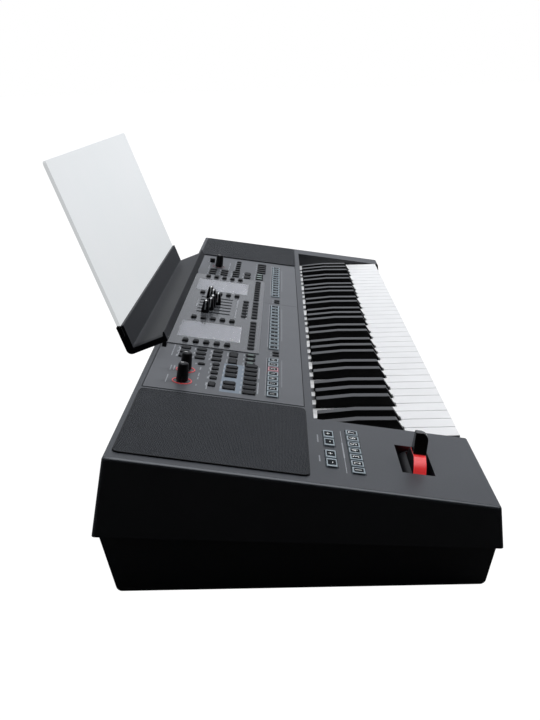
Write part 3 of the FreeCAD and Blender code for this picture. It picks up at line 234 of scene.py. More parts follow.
plastics = {
    "caseAbs": dict(dark="2c2e32", light="303236", roughness=0.44, grainMm=0.9, cloudMm=60, grain=0.25),
    # a shade lighter than the case: a painted highlight on the polished edge roll
    "edgeHighlightAbs": dict(dark="303338", light="34373c", roughness=0.26, spread=0.03, grainMm=0.9, cloudMm=60),
    "panelAbs": dict(dark="47494d", light="4b4d51", roughness=0.42, specular=0.4, cloudMm=50),
    "displayAbs": dict(
        dark="4a4c50", light="4e5054", roughness=0.2, spread=0.02, cloudMm=50, grain=0.02, specular=0.4
    ),
    "whiteKeyAbs": dict(dark="e2e3e5", light="e7e8ea", roughness=0.34, specular=0.3, cloudMm=40, grain=0.04),
    # black keys in two shades: painted shade on the sides, painted highlight on the tops
    "blackKeyShadedSideAbs": dict(dark="050506", light="070708", specular=0.1, grainMm=0.6, cloudMm=30),
    "blackKeyHighlightTopAbs": dict(dark="1c1d20", light="202124", roughness=0.32, grainMm=0.6, cloudMm=30),
    "buttonAbs": dict(dark="0b0c0e", light="0f1012", roughness=0.55, specular=0.22, grain=0.08),
    "paleButtonAbs": dict(dark="5c6a66", light="65726e", specular=0.3, grain=0.08),
    "padAbs": dict(dark="808b92", light="89949b", grain=0.06),
    "controlAbs": dict(dark="08080a", light="0c0c0e", specular=0.25, grain=0.12),
    "gripAbs": dict(
        dark="070708", light="0a0a0b", roughness=0.2, spread=0.03, grainMm=2.0, grain=0.02, coat=0.4
    ),
    "restAbs": dict(dark="0a0c10", light="0e1014", specular=0.18, grainMm=0.8, cloudMm=60, grain=0.2),
    "railAcetal": dict(dark="202022", light="262628", roughness=0.5, ior=1.48, grainMm=0.6, cloudMm=30),
    "footRubber": dict(dark="111112", light="161617", roughness=0.8, grainMm=0.8, grain=0.4, depthMm=0.06),
    "boardLaminate": dict(dark="0d3d22", light="124a2a", roughness=0.35, grainMm=1.2, cloudMm=15),
    "conePulp": dict(
        dark="151515", light="1c1c1c", roughness=0.9, ior=1.45, grainMm=1.0, grain=0.5, depthMm=0.1
    ),
    "grillePowder": dict(dark="2c2e32", light="303236", roughness=0.5, grainMm=0.6, cloudMm=40, grain=0.3),
    # dark cloth behind the grille holes, also used as the painted shade of the gap round each grille
    "grilleClothAndGapShade": dict(dark="1a1c1f", light="1e2023", roughness=0.9, specular=0.1, grainMm=0.6, grain=0.5),
    "socketNylon": dict(dark="141415", light="19191a", roughness=0.55, grainMm=0.6, grain=0.15),
}
finish = {name: mouldedPlastic(name, {**plainPlastic, **values}) for name, values in plastics.items()}
metals = {
    "zincSteel": dict(colour="b9bbbd", roughness=0.32, spread=0.08, streakMm=0.4, stretch=0.1),
    "nickelPlate": dict(colour="c8c6c0", roughness=0.25, spread=0.08, streakMm=0.3, stretch=0.1),
}
for name, values in metals.items():
    finish[name] = platedSteel(name, values)
lights = {
    "ringGlow": dict(dark="b83236", light="c24042", roughness=0.3, glow=0.35, cloudMm=6),
    "ringDim": dict(dark="4a1015", light="561419", roughness=0.3, glow=0.05, cloudMm=6),
    # painted light: the lever's red glows evenly in place of the light falling on it, with no lamp in it
    "benderRedPaintedGlow": dict(dark="d42c30", light="de3e3e", roughness=0.22, glow=0.5, cloudMm=9),
    # painted light: the music rest board's white comes from a glow over a dark grey, not from the light
    # falling on it
    "opalPaintedGlow": dict(dark="696b6c", light="6b6c6d", roughness=0.35, glow=3.75, cloudMm=80),
    "padGlow": dict(dark="a0747c", light="ac7e86", roughness=0.4, glow=0.12, cloudMm=8),
    # painted light: the LCD's glow stands in for the lamp light that reaches it through the window
    "lcdPaintedGlow": dict(dark="1e2026", light="212329", roughness=0.5, glow=2.5, cloudMm=60),
}
for name, values in lights.items():
    finish[name] = glowPlastic(name, values)
window = dict(colour="f2f2f6", roughness=0.115, spread=0.015, smearMm=25, specular=0.14)
finish["windowAcrylic"] = clearAcrylic("windowAcrylic", window)
felt = dict(colour="8a1d22", roughness=0.95, sheen=0.5, napMm=0.8, grain=0.6, depthMm=0.3)
finish["stopFelt"] = pressedFelt("stopFelt", felt)
inks = {
    "legendInk": dict(colour="9ea1a6", roughness=0.6, spread=0.1, specular=0.3, wearMm=0.8),
    "numeralInk": dict(colour="eceff0", roughness=0.6, spread=0.1, specular=0.3, wearMm=0.8),
    "labelInk": dict(colour="15181b", roughness=0.85, spread=0.1, specular=0.15, wearMm=0.8),
    "boxInk": dict(colour="6e7883", roughness=0.55, spread=0.1, specular=0.4, wearMm=0.8),
}
for name, values in inks.items():
    finish[name] = printedInk(name, values)
print("materials made:", len(finish))


def addPiece(name, bm, material, body, smoothAngle=35):
    # a finished mesh in place, riding on its body
    mesh = bpy.data.meshes.new(name)
    bm.to_mesh(mesh)
    bm.free()
    mesh.shade_smooth()
    mesh.set_sharp_from_angle(angle=math.radians(smoothAngle))
    piece = bpy.data.objects.new(name, mesh)
    scene.collection.objects.link(piece)
    for each in material if isinstance(material, (list, tuple)) else [material]:
        mesh.materials.append(each)
    even = piece.modifiers.new("evenNormals", "WEIGHTED_NORMAL")
    even.keep_sharp = True
    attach(piece, body)
    return piece


def stand(nodeName, bm, material, body, smoothAngle=35):
    # a piece that is shown in a CAD node's place
    piece = addPiece(nodeName + "_soft", bm, material, body, smoothAngle)
    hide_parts(nodeName)
    return piece


# how close two vertices are when they count as one, and how flat an edge is when it goes
merging = dict(distanceMm=0.002, flatAngle=0.5)


def mergedCopy(nodeName):
    # a CAD node's mesh as one closed skin of flat faces
    bm = bmesh.new()
    bm.from_mesh(nodes[nodeName].data)
    flat = math.radians(merging["flatAngle"])
    bmesh.ops.remove_doubles(bm, verts=bm.verts, dist=merging["distanceMm"] * mm)
    bmesh.ops.dissolve_limit(bm, angle_limit=flat, verts=bm.verts, edges=bm.edges)
    return bm


def islands(bm):
    # the separate solids of a mesh, each as its list of vertices
    seen = set()
    groups = []
    for start in bm.verts:
        if start in seen:
            continue
        group = []
        stack = [start]
        seen.add(start)
        while stack:
            vert = stack.pop()
            group.append(vert)
            for edge in vert.link_edges:
                other = edge.other_vert(vert)
                if other not in seen:
                    seen.add(other)
                    stack.append(other)
        groups.append(group)
    return groups


def deckBounds(verts):
    points = [deckInverse @ vert.co for vert in verts]
    low = Vector([min(point[i] for point in points) for i in range(3)])
    high = Vector([max(point[i] for point in points) for i in range(3)])
    return low, high


def nodeBounds(nodeName):
    return deckBounds(nodes[nodeName].data.vertices)


# how near the fronts of two solids are when they count as one row
rowMm = 4


def rowOrder(box):
    # front row first, and left to right along a row
    return round(box[0].y / (rowMm * mm)), box[0].x


def deckIslands(nodeName):
    # low and high deck corners of each solid in a node
    bm = mergedCopy(nodeName)
    found = [deckBounds(group) for group in islands(bm)]
    bm.free()
    return sorted(found, key=rowOrder)


def bevelled(bm, edges, offsetMm, segments):
    bmesh.ops.bevel(
        bm,
        geom=edges,
        offset=offsetMm * mm,
        offset_type="OFFSET",
        segments=segments,
        profile=0.5,
        affect="EDGES",
        clamp_overlap=True,
        material=-1,
    )


def softened(nodeName, bevelMm, segments, lowest=-1, sharpAngle=20):
    # the CAD piece with its edges rounded, from a height upwards
    bm = mergedCopy(nodeName)
    edges = []
    for edge in bm.edges:
        sharp = len(edge.link_faces) == 2 and edge.calc_face_angle(0) > math.radians(sharpAngle)
        if sharp and min(vert.co.z for vert in edge.verts) > lowest:
            edges.append(edge)
    if edges and bevelMm:
        bevelled(bm, edges, bevelMm, segments)
    return bm


# how a cap's upright edges and its top are told from the rest
caps = dict(uprightFrom=0.93, cornerAngle=60, topFrom=0.98, wallTo=0.7)


def roundedCaps(nodeName, values):
    # caps with round corners in plan and a soft edge round the top
    bm = mergedCopy(nodeName)
    uprights = []
    for edge in bm.edges:
        run = deckNormal.dot((edge.verts[1].co - edge.verts[0].co).normalized())
        if abs(run) > caps["uprightFrom"] and edge.calc_face_angle(0) > math.radians(caps["cornerAngle"]):
            uprights.append(edge)
    bevelled(bm, uprights, values["cornerMm"], values["cornerSteps"])
    bm.normal_update()
    tops = []
    for edge in bm.edges:
        facing = sorted(face.normal.dot(deckNormal) for face in edge.link_faces)
        if facing[-1] > caps["topFrom"] and facing[0] < caps["wallTo"]:
            tops.append(edge)
    bevelled(bm, tops, values["edgeMm"], values["edgeSteps"])
    return bm


plateCornerSteps = 4


def deckPlate(bm, x, y, z, width, depth, height, cornerMm=0):
    # a thin plate lying on the deck, given by its middle and sizes in the deck's frame
    verts = bmesh.ops.create_cube(bm, size=1)["verts"]
    bmesh.ops.scale(bm, vec=(width, depth, height), verts=verts)
    bmesh.ops.translate(bm, vec=(x, y, z + height / 2), verts=verts)
    if cornerMm:
        edges = {edge for vert in verts for edge in vert.link_edges}
        uprights = [edge for edge in edges if abs(edge.verts[0].co.z - edge.verts[1].co.z) > height / 2]
        bevelled(bm, uprights, cornerMm, plateCornerSteps)


def deckPrism(bm, outline, y, thick):
    # a slab across the deck from an outline of x and z
    verts = [bm.verts.new((x, y - thick / 2, z)) for x, z in outline]
    face = bm.faces.new(verts)
    made = bmesh.ops.extrude_face_region(bm, geom=[face])
    moved = [item for item in made["geom"] if isinstance(item, bmesh.types.BMVert)]
    bmesh.ops.translate(bm, vec=(0, thick, 0), verts=moved)
    bmesh.ops.recalc_face_normals(bm, faces=bm.faces)


def ontoDeck(bm):
    bmesh.ops.transform(bm, matrix=deckMatrix, verts=bm.verts)
    return bm


# finishes of the CAD nodes that show as they are
nodeFinish = {
    "top_case": "caseAbs",
    "bottom_case": "caseAbs",
    "rear_jack_plate": "caseAbs",
    "control_panel": "panelAbs",
    "display_windows": "windowAcrylic",
    # the LCD's brightness is a painted glow in place of lamp light through the window
    "lcd_modules": "lcdPaintedGlow",
    "panel_boards": "boardLaminate",
    "main_board": "boardLaminate",
    "key_contact_board": "boardLaminate",
    "keybed_chassis": "zincSteel",
    "key_springs": "zincSteel",
    "case_screws": "zincSteel",
    "key_pivot_rail": "railAcetal",
    "slider_pots": "railAcetal",
    "knob_pots": "railAcetal",
    "key_contact_strip": "footRubber",
    "rubber_feet": "footRubber",
    "key_felt": "stopFelt",
    "speakers": "conePulp",
    "data_sockets": "nickelPlate",
    "phone_jacks": "socketNylon",
    "dc_inlet": "socketNylon",
    "power_switch": "socketNylon",
    "bender_housing": "caseAbs",
}
for nodeName, name in nodeFinish.items():
    skins = nodes[nodeName].data.materials
    skins.clear()
    skins.append(finish[name])
print("CAD nodes finished:", len(nodeFinish))

# keys: a fine edge on the white ones, round shoulders on the black ones, with a painted highlight as a
# lighter top and painted shade as darker sides
keys = dict(
    whiteBevelMm=0.25,
    whiteDownMm=6,
    blackBevelMm=0.9,
    blackDownMm=0.5,
    segments=3,
    topFrom=0.6,
    smoothAngle=12,
)
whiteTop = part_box("c_keys")[1].z
for nodeName in [name for name in nodes if name.endswith("_keys")]:
    if "sharp" in nodeName:
        bm = softened(nodeName, keys["blackBevelMm"], keys["segments"], whiteTop - keys["blackDownMm"] * mm)
        bm.normal_update()
        for face in bm.faces:
            # upward faces take the lighter finish as a painted highlight, the others the darker one as
            # painted shade
            face.material_index = int(face.normal.z > keys["topFrom"])
        stand(nodeName, bm, [finish["blackKeyShadedSideAbs"], finish["blackKeyHighlightTopAbs"]], nodeName)
    else:
        bm = softened(nodeName, keys["whiteBevelMm"], keys["segments"], whiteTop - keys["whiteDownMm"] * mm)
        stand(nodeName, bm, finish["whiteKeyAbs"], nodeName, keys["smoothAngle"])
print("keys rounded")

# display panel, with a soft edge round its top
display = dict(bevelMm=0.9, segments=4, nearMm=0.05, smoothAngle=12)
bm = mergedCopy("display_panel")
low, high = nodeBounds("display_panel")
rimmed = []
for edge in bm.edges:
    spots = [deckInverse @ vert.co for vert in edge.verts]
    fromTop = max(high.z - spot.z for spot in spots)
    fromSides = [max(abs(spot.x - x) for spot in spots) for x in (low.x, high.x)]
    fromSides += [max(abs(spot.y - y) for spot in spots) for y in (low.y, high.y)]
    if max(fromTop, min(fromSides)) < display["nearMm"] * mm:
        rimmed.append(edge)
bevelled(bm, rimmed, display["bevelMm"], display["segments"])
stand("display_panel", bm, finish["displayAbs"], "case", display["smoothAngle"])
print("display panel softened:", len(rimmed))

# buttons, with one row of pale tops in each block beside the display panel
buttons = dict(
    cornerMm=1.4,
    cornerSteps=3,
    edgeMm=1.1,
    edgeSteps=3,
    paleRowShare=0.36,
    paleSpanShare=0.03,
    paleMiddleShares=(0.1865, 0.826),
    paleInsetMm=0.8,
)
panelLow, panelHigh = nodeBounds("control_panel")


def paleTops(bm):
    # the caps of the pale row get the second material on their tops
    rowY = panelLow.y + buttons["paleRowShare"] * (panelHigh.y - panelLow.y)
    width = panelHigh.x - panelLow.x
    tops = []
    for group in islands(bm):
        low, high = deckBounds(group)
        share = ((low.x + high.x) / 2 - panelLow.x) / width
        near = min(abs(share - middle) for middle in buttons["paleMiddleShares"])
        if near < buttons["paleSpanShare"] and low.y < rowY < high.y:
            skin = {face for vert in group for face in vert.link_faces}
            tops += [face for face in skin if face.normal.dot(deckNormal) > caps["topFrom"]]
    bmesh.ops.inset_individual(bm, faces=tops, thickness=buttons["paleInsetMm"] * mm, depth=0)
    for face in tops:
        face.material_index = 1


for nodeName in ("display_buttons", "row_buttons", "left_section_buttons", "right_section_buttons"):
    bm = roundedCaps(nodeName, buttons)
    if "section" in nodeName:
        paleTops(bm)
    stand(nodeName, bm, [finish["buttonAbs"], finish["paleButtonAbs"]], nodeName)
print("buttons rounded")

# pads with their label insets, one of them lit
pads = dict(
    cornerMm=0.9,
    cornerSteps=2,
    edgeMm=0.45,
    edgeSteps=2,
    labelShare=0.62,
    labelDepthShare=0.6,
    labelRaiseMm=0.06,
    labelCornerMm=0.6,
    figureMm=6.5,
    cheekFigureMm=7.8,
    figureThickMm=0.02,
    figureLiftMm=0.03,
    figures="12341234" + "-" * 26,
    cheekFigures="1234567-+-+",
    litPad=5,
)
for nodeName in ("panel_pads", "cheek_pads"):
    bm = roundedCaps(nodeName, pads)
    if nodeName == "panel_pads":
        order = sorted(islands(bm), key=lambda group: min(vert.co.x for vert in group))
        for face in {face for vert in order[pads["litPad"]] for face in vert.link_faces}:
            face.material_index = 1
    stand(nodeName, bm, [finish["padAbs"], finish["padGlow"]], nodeName)


def padLabels(nodeName):
    bm = bmesh.new()
    spots = []
    raised = pads["labelRaiseMm"] * mm
    for low, high in deckIslands(nodeName):
        width = (high.x - low.x) * pads["labelShare"]
        depth = (high.y - low.y) * pads["labelDepthShare"]
        x = (low.x + high.x) / 2
        y = (low.y + high.y) / 2
        deckPlate(bm, x, y, high.z, width, depth, raised, pads["labelCornerMm"])
        spots.append(Vector((x, y, high.z + raised)))
    addPiece(nodeName + "_labels", ontoDeck(bm), finish["labelInk"], nodeName)
    return spots


def numerals(name, body, words, spots, sizeMm):
    # flat printed figures, made a mesh and laid on the pads
    bm = bmesh.new()
    lift = Vector((0, 0, pads["figureLiftMm"] * mm))
    for word, spot in zip(words, spots):
        curve = bpy.data.curves.new(name, "FONT")
        curve.body = word
        curve.size = sizeMm * mm
        curve.align_x = "CENTER"
        curve.align_y = "CENTER"
        curve.extrude = pads["figureThickMm"] * mm
        holder = bpy.data.objects.new(name + "Text", curve)
        scene.collection.objects.link(holder)
        bpy.context.view_layer.update()
        graph = bpy.context.evaluated_depsgraph_get()
        mesh = bpy.data.meshes.new_from_object(holder.evaluated_get(graph))
        mesh.transform(deckMatrix @ Matrix.Translation(spot + lift))
        bm.from_mesh(mesh)
        bpy.data.objects.remove(holder)
        bpy.data.meshes.remove(mesh)
        bpy.data.curves.remove(curve)
    addPiece(name, bm, finish["numeralInk"], body)


cheekSpots = padLabels("cheek_pads")
panelSpots = padLabels("panel_pads")
numerals("cheek_figures", "cheek_pads", pads["cheekFigures"], cheekSpots, pads["cheekFigureMm"])
numerals("panel_figures", "panel_pads", pads["figures"], panelSpots, pads["figureMm"])
print("pads labelled:", len(cheekSpots) + len(panelSpots))

# slider caps with a white line over the top and down both ends
sliders = dict(
    count=6,
    edgeMm=0.5,
    segments=2,
    capMm=14.6,
    topWidthMm=8.4,
    chamferMm=0.7,
    lineMm=1.4,
    footMm=3.2,
    raiseMm=0.07,
)
for index in range(1, sliders["count"] + 1):
    nodeName = "slider_cap_%d" % index
    low, high = nodeBounds(nodeName)
    bm = softened(nodeName, sliders["edgeMm"], sliders["segments"])
    stand(nodeName, bm, finish["controlAbs"], nodeName)
    x = (low.x + high.x) / 2
    raised = sliders["raiseMm"] * mm
    foot = (high.x - low.x) / 2 + raised
    shoulder = sliders["topWidthMm"] / 2 * mm + raised
    crest = shoulder - sliders["chamferMm"] * mm
    footZ = high.z - (sliders["capMm"] - sliders["footMm"]) * mm
    shoulderZ = high.z - sliders["chamferMm"] * mm
    side = [(foot, footZ), (shoulder, shoulderZ), (crest, high.z + raised)]
    outline = [(x + dx, z) for dx, z in side] + [(x - dx, z) for dx, z in reversed(side)]
    line = bmesh.new()
    deckPrism(line, outline, (low.y + high.y) / 2, sliders["lineMm"] * mm)
    addPiece(nodeName + "_line", ontoDeck(line), finish["numeralInk"], nodeName)

# black dust lips beside each slot
slots = dict(lipMm=1.6, slotMm=2.0, lengthMm=42.5, middleMm=266.4, raiseMm=0.03)
lips = bmesh.new()
lipZ = nodeBounds("display_panel")[1].z
for index in range(1, sliders["count"] + 1):
    low, high = nodeBounds("slider_cap_%d" % index)
    for side in (-1, 1):
        x = (low.x + high.x) / 2 + side * (slots["slotMm"] + slots["lipMm"]) / 2 * mm
        size = (slots["lipMm"] * mm, slots["lengthMm"] * mm, slots["raiseMm"] * mm)
        deckPlate(lips, x, slots["middleMm"] * mm, lipZ, *size)
addPiece("slot_lips", ontoDeck(lips), finish["labelInk"], "case")
print("sliders finished")

# rotary knobs, spun with a domed edge, each with a pointer line
knobs = dict(
    steps=48,
    bodyMm=18.4,
    footMm=0.5,
    domeMm=2.0,
    domeSteps=5,
    crownMm=0.3,
    tipShare=0.87,
    pointerMm=1.0,
    pointerShare=0.55,
    pointerSunkMm=0.25,
    pointerThickMm=0.28,
    litRings=2,
)
for nodeName in ("left_outer_knob", "left_inner_knob", "right_knob"):
    low, high = nodeBounds(nodeName)
    x = (low.x + high.x) / 2
    y = (low.y + high.y) / 2
    footRadius = (high.x - low.x) / 2
    tipRadius = footRadius * knobs["tipShare"]
    bottom = high.z - knobs["bodyMm"] * mm
    foot = knobs["footMm"] * mm
    dome = knobs["domeMm"] * mm
    shoulderZ = high.z - knobs["crownMm"] * mm - dome
    outline = [(0, bottom), (footRadius - foot, bottom), (footRadius, bottom + foot)]
    for i in range(knobs["domeSteps"] + 1):
        turn = math.pi / 2 * i / knobs["domeSteps"]
        outline.append((tipRadius - dome + dome * math.cos(turn), shoulderZ + dome * math.sin(turn)))
    outline.append((0, high.z))
    knob = bmesh.new()
    verts = [knob.verts.new((x + radius, y, z)) for radius, z in outline]
    edges = [knob.edges.new(pair) for pair in zip(verts, verts[1:])]
    bmesh.ops.spin(
        knob,
        geom=verts + edges,
        cent=(x, y, 0),
        axis=(0, 0, 1),
        angle=math.tau,
        steps=knobs["steps"],
        use_merge=True,
    )
    bmesh.ops.remove_doubles(knob, verts=knob.verts, dist=merging["distanceMm"] * mm)
    bmesh.ops.recalc_face_normals(knob, faces=knob.faces)
    stand(nodeName, ontoDeck(knob), finish["controlAbs"], nodeName)
    pointer = bmesh.new()
    reach = tipRadius * knobs["pointerShare"]
    size = (knobs["pointerMm"] * mm, reach, knobs["pointerThickMm"] * mm)
    deckPlate(pointer, x, y + reach / 2, high.z - knobs["pointerSunkMm"] * mm, *size)
    addPiece(nodeName + "_pointer", ontoDeck(pointer), finish["numeralInk"], nodeName)

# light rings, lit round the two bass knobs
rings = mergedCopy("knob_rings")
ringGroups = sorted(islands(rings), key=lambda group: min(vert.co.x for vert in group))
for group in ringGroups[knobs["litRings"]:]:
    for face in {face for vert in group for face in vert.link_faces}:
        face.material_index = 1
stand("knob_rings", rings, [finish["ringGlow"], finish["ringDim"]], "case")
print("knobs spun")

# bender lever: a glossy black grip on a red drum with dark ends
bender = dict(gripBevelMm=1.6, baseBevelMm=1.6, segments=4, baseSharpAngle=30, sideFrom=0.5)
bm = softened("bender_grip", bender["gripBevelMm"], bender["segments"])
stand("bender_grip", bm, finish["gripAbs"], "bender_lever")
bm = softened("bender_base", bender["baseBevelMm"], bender["segments"], sharpAngle=bender["baseSharpAngle"])
bm.normal_update()
for face in bm.faces:
    across = abs(face.normal.x)
    endways = abs(face.normal.y)
    face.material_index = int(across < bender["sideFrom"] < endways)
# the red drum's brightness is a painted glow, not a lamp
stand("bender_base", bm, [finish["benderRedPaintedGlow"], finish["controlAbs"]], "bender_lever")
stand("bender_cradle", mergedCopy("bender_cradle"), finish["controlAbs"], "bender_cradle")
print("bender finished")

# a glossier roll along the top edge at each end of the case, a shade lighter than the case as a painted
# highlight
edgeHighlightRoll = dict(
    radiusMm=3.2,
    raiseMm=0.03,
    thickMm=0.1,
    steps=7,
    fromTilt=12,
    toTilt=62,
    startMm=6,
    endMm=313,
)
bm = bmesh.new()
radius = edgeHighlightRoll["radiusMm"] * mm
outer = radius + edgeHighlightRoll["raiseMm"] * mm
inner = outer - edgeHighlightRoll["thickMm"] * mm
tiltStep = (edgeHighlightRoll["toTilt"] - edgeHighlightRoll["fromTilt"]) / edgeHighlightRoll["steps"]
tilts = [edgeHighlightRoll["fromTilt"] + tiltStep * i for i in range(edgeHighlightRoll["steps"] + 1)]
ring = [(outer, tilt) for tilt in tilts] + [(inner, tilt) for tilt in reversed(tilts)]
for end, sign in ((caseLow.x, 1), (caseHigh.x, -1)):
    outline = []
    for reach, tilt in ring:
        x = radius - reach * math.sin(math.radians(tilt))
        outline.append((end + sign * x, reach * math.cos(math.radians(tilt)) - radius))
    length = (edgeHighlightRoll["endMm"] - edgeHighlightRoll["startMm"]) * mm
    deckPrism(bm, outline, edgeHighlightRoll["startMm"] * mm + length / 2, length)
addPiece("case_edge_highlight_rolls", ontoDeck(bm), finish["edgeHighlightAbs"], "case")
print("case edges polished")

# music rest: a tray with soft edges, and the board, whose white is a painted glow and whose part down in the
# tray has painted shade in the tray's dark finish
rest = dict(trayBevelMm=0.7, boardBevelMm=0.6, segments=3, boardSharpAngle=30, shadedMm=1.0)
bm = softened("music_rest_tray", rest["trayBevelMm"], rest["segments"])
tray = stand("music_rest_tray", bm, finish["restAbs"], "music_rest")
# kept out of mirrored views, so that the panel stays as light as in the photograph
tray.visible_glossy = False
bm = softened("music_rest_board", rest["boardBevelMm"], rest["segments"], sharpAngle=rest["boardSharpAngle"])
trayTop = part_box("music_rest_tray")[1] - Vector((0, 0, rest["shadedMm"] * mm))
everything = bm.verts[:] + bm.edges[:] + bm.faces[:]
bmesh.ops.bisect_plane(bm, geom=everything, plane_co=trayTop, plane_no=(0, 0, 1))
# faces below the tray's rim get the dark finish as painted shade
for face in bm.faces:
    face.material_index = int(face.calc_center_median().z < trayTop.z)
stand("music_rest_board", bm, [finish["opalPaintedGlow"], finish["restAbs"]], "music_rest")
print("music rest finished")

# loudspeaker grilles: a sheet of square holes set on the slant, in a thin rim over a dark strip of painted
# shade for the gap round the grille
grille = dict(
    pitchMm=1.75,
    webMm=0.55,
    pitMm=0.35,
    pitSlopeMm=0.05,
    sunkMm=0.1,
    rimMm=0.7,
    underRimMm=0.2,
    rollMm=0.3,
    rollSteps=3,
    cornerMm=5.0,
    cornerSteps=6,
    cornerCutShare=0.48,
    gapShadeMm=0.6,
    gapShadeThickMm=0.15,
)


def grilleRim(low, high):
    bm = bmesh.new()
    bmesh.ops.create_grid(bm, x_segments=1, y_segments=1, size=0.5)
    bmesh.ops.scale(bm, vec=(high.x - low.x, high.y - low.y, 1), verts=bm.verts)
    bmesh.ops.translate(bm, vec=((low.x + high.x) / 2, (low.y + high.y) / 2, low.z), verts=bm.verts)
    bmesh.ops.bevel(
        bm,
        geom=bm.verts[:],
        offset=grille["cornerMm"] * mm,
        offset_type="OFFSET",
        segments=grille["cornerSteps"],
        profile=0.5,
        affect="VERTICES",
        clamp_overlap=True,
        material=-1,
    )
    made = bmesh.ops.extrude_face_region(bm, geom=bm.faces[:])
    raised = [item for item in made["geom"] if isinstance(item, bmesh.types.BMVert)]
    bmesh.ops.translate(bm, vec=(0, 0, high.z - low.z), verts=raised)
    bm.faces.ensure_lookup_table()
    top = max(bm.faces, key=lambda face: face.calc_center_median().z)
    outer = list(top.edges)
    bmesh.ops.inset_region(bm, faces=[top], thickness=grille["rimMm"] * mm, depth=0)
    bottom = min(bm.faces, key=lambda face: face.calc_center_median().z)
    bmesh.ops.delete(bm, geom=[top, bottom], context="FACES_ONLY")
    bevelled(bm, outer, grille["rollMm"], grille["rollSteps"])
    return bm


def grilleSheet(low, high):
    # square cells, each a narrow web round a pit, then trimmed to the grille's outline
    pitch = grille["pitchMm"] * mm
    middle = (low + high) / 2
    count = int((high.x - low.x + high.y - low.y) / math.sqrt(2) / pitch) + 2
    bm = bmesh.new()
    bmesh.ops.create_grid(bm, x_segments=count, y_segments=count, size=count * pitch / 2)
    bmesh.ops.rotate(bm, cent=(0, 0, 0), matrix=Matrix.Rotation(math.pi / 4, 3, "Z"), verts=bm.verts)
    bmesh.ops.translate(bm, vec=(middle.x, middle.y, high.z - grille["sunkMm"] * mm), verts=bm.verts)
    half = (high - low) / 2 + Vector((pitch, pitch, 0))
    spare = []
    for face in bm.faces:
        spot = face.calc_center_median() - middle
        if abs(spot.x) > half.x or abs(spot.y) > half.y:
            spare.append(face)
    bmesh.ops.delete(bm, geom=spare, context="FACES")
    cells = bm.faces[:]
    bmesh.ops.inset_individual(bm, faces=cells, thickness=grille["webMm"] / 2 * mm, depth=0)
    slope = grille["pitSlopeMm"] * mm
    bmesh.ops.inset_individual(bm, faces=cells, thickness=slope, depth=-grille["pitMm"] * mm)
    for face in cells:
        face.material_index = 1
    inset = (grille["rimMm"] - grille["underRimMm"]) * mm
    cut = grille["cornerMm"] * mm * grille["cornerCutShare"] / math.sqrt(2)
    trims = [(x, y, inset) for x, y in ((-1, 0), (1, 0), (0, -1), (0, 1))]
    trims += [(x, y, cut) for x, y in ((-1, -1), (1, -1), (1, 1), (-1, 1))]
    for x, y, less in trims:
        reach = Vector((x * ((high.x - low.x) / 2 - less), y * ((high.y - low.y) / 2 - less), 0))
        bmesh.ops.bisect_plane(
            bm,
            geom=bm.verts[:] + bm.edges[:] + bm.faces[:],
            plane_co=middle + reach,
            plane_no=(x, y, 0),
            clear_outer=True,
        )
    return bm


for nodeName in ("left_grille", "right_grille"):
    low, high = nodeBounds(nodeName)
    stand(nodeName, ontoDeck(grilleRim(low, high)), finish["controlAbs"], "case")
    sheetSkins = [finish["grillePowder"], finish["grilleClothAndGapShade"]]
    addPiece(nodeName + "_sheet", ontoDeck(grilleSheet(low, high)), sheetSkins, "case")
    # a thin dark strip round the grille: painted shade standing in for the gap
    gapShade = bmesh.new()
    wider = 2 * grille["gapShadeMm"] * mm
    middle = (low + high) / 2
    corner = grille["cornerMm"] + grille["gapShadeMm"]
    size = (high.x - low.x + wider, high.y - low.y + wider, grille["gapShadeThickMm"] * mm)
    deckPlate(gapShade, middle.x, middle.y, low.z, *size, corner)
    addPiece(nodeName + "_gap_shade", ontoDeck(gapShade), finish["grilleClothAndGapShade"], "case")
print("grilles perforated")

# printed legends as plain letter-like marks, given as from, to (from the left end) and up the deck, in mm
legends = dict(letterMm=1.0, spaceMm=0.45, heightMm=1.2, raiseMm=0.03, aboveMm=1.2, shareOfButton=0.75)
panelWords = [
    (198, 223, 293), (238, 254, 293), (238, 254, 289.5), (288, 330, 297), (288, 322, 290.5),
    (198, 203, 263), (218, 225, 263), (228, 240, 263), (250, 260, 263), (293, 328, 255),
    (192, 213, 252.5), (225, 236, 252.5), (252, 267, 252.5), (768, 792, 293), (800, 822, 293),
    (776, 800, 262), (806, 830, 262), (722, 752, 255), (196, 232, 202), (245, 282, 202),
]
panelLines = [
    (195, 325, 194.6, 0.35), (367, 580, 194.6, 0.35), (634, 850, 194.6, 0.35),
    (227, 320, 178, 0.35), (400, 560, 178, 0.35), (670, 820, 178, 0.35),
]
displayWords = [
    (477, 520, 238), (532, 576, 238), (510, 550, 290), (478, 500, 224), (506, 530, 224), (536, 560, 224),
]
cheekWords = [(47, 60, 146), (90, 108, 146)]
cheekLines = [(29, 124, 124.5, 0.5), (61, 95, 124.5, 1.2)]


def printWord(bm, start, end, y, z):
    step = legends["letterMm"] + legends["spaceMm"]
    count = max(1, round((end - start) / step))
    for i in range(count):
        x = caseLow.x + (start + (i + 0.5) * (end - start) / count) * mm
        width = legends["letterMm"] * mm
        deckPlate(bm, x, y * mm, z, width, legends["heightMm"] * mm, legends["raiseMm"] * mm)


def printLine(bm, start, end, y, wide, z):
    x = caseLow.x + (start + end) / 2 * mm
    deckPlate(bm, x, y * mm, z, (end - start) * mm, wide * mm, legends["raiseMm"] * mm)


def printPlate(name, nodeName, words, lines, body):
    bm = bmesh.new()
    z = nodeBounds(nodeName)[1].z
    for word in words:
        printWord(bm, *word, z)
    for line in lines:
        printLine(bm, *line, z)
    addPiece(name, ontoDeck(bm), finish["legendInk"], body)


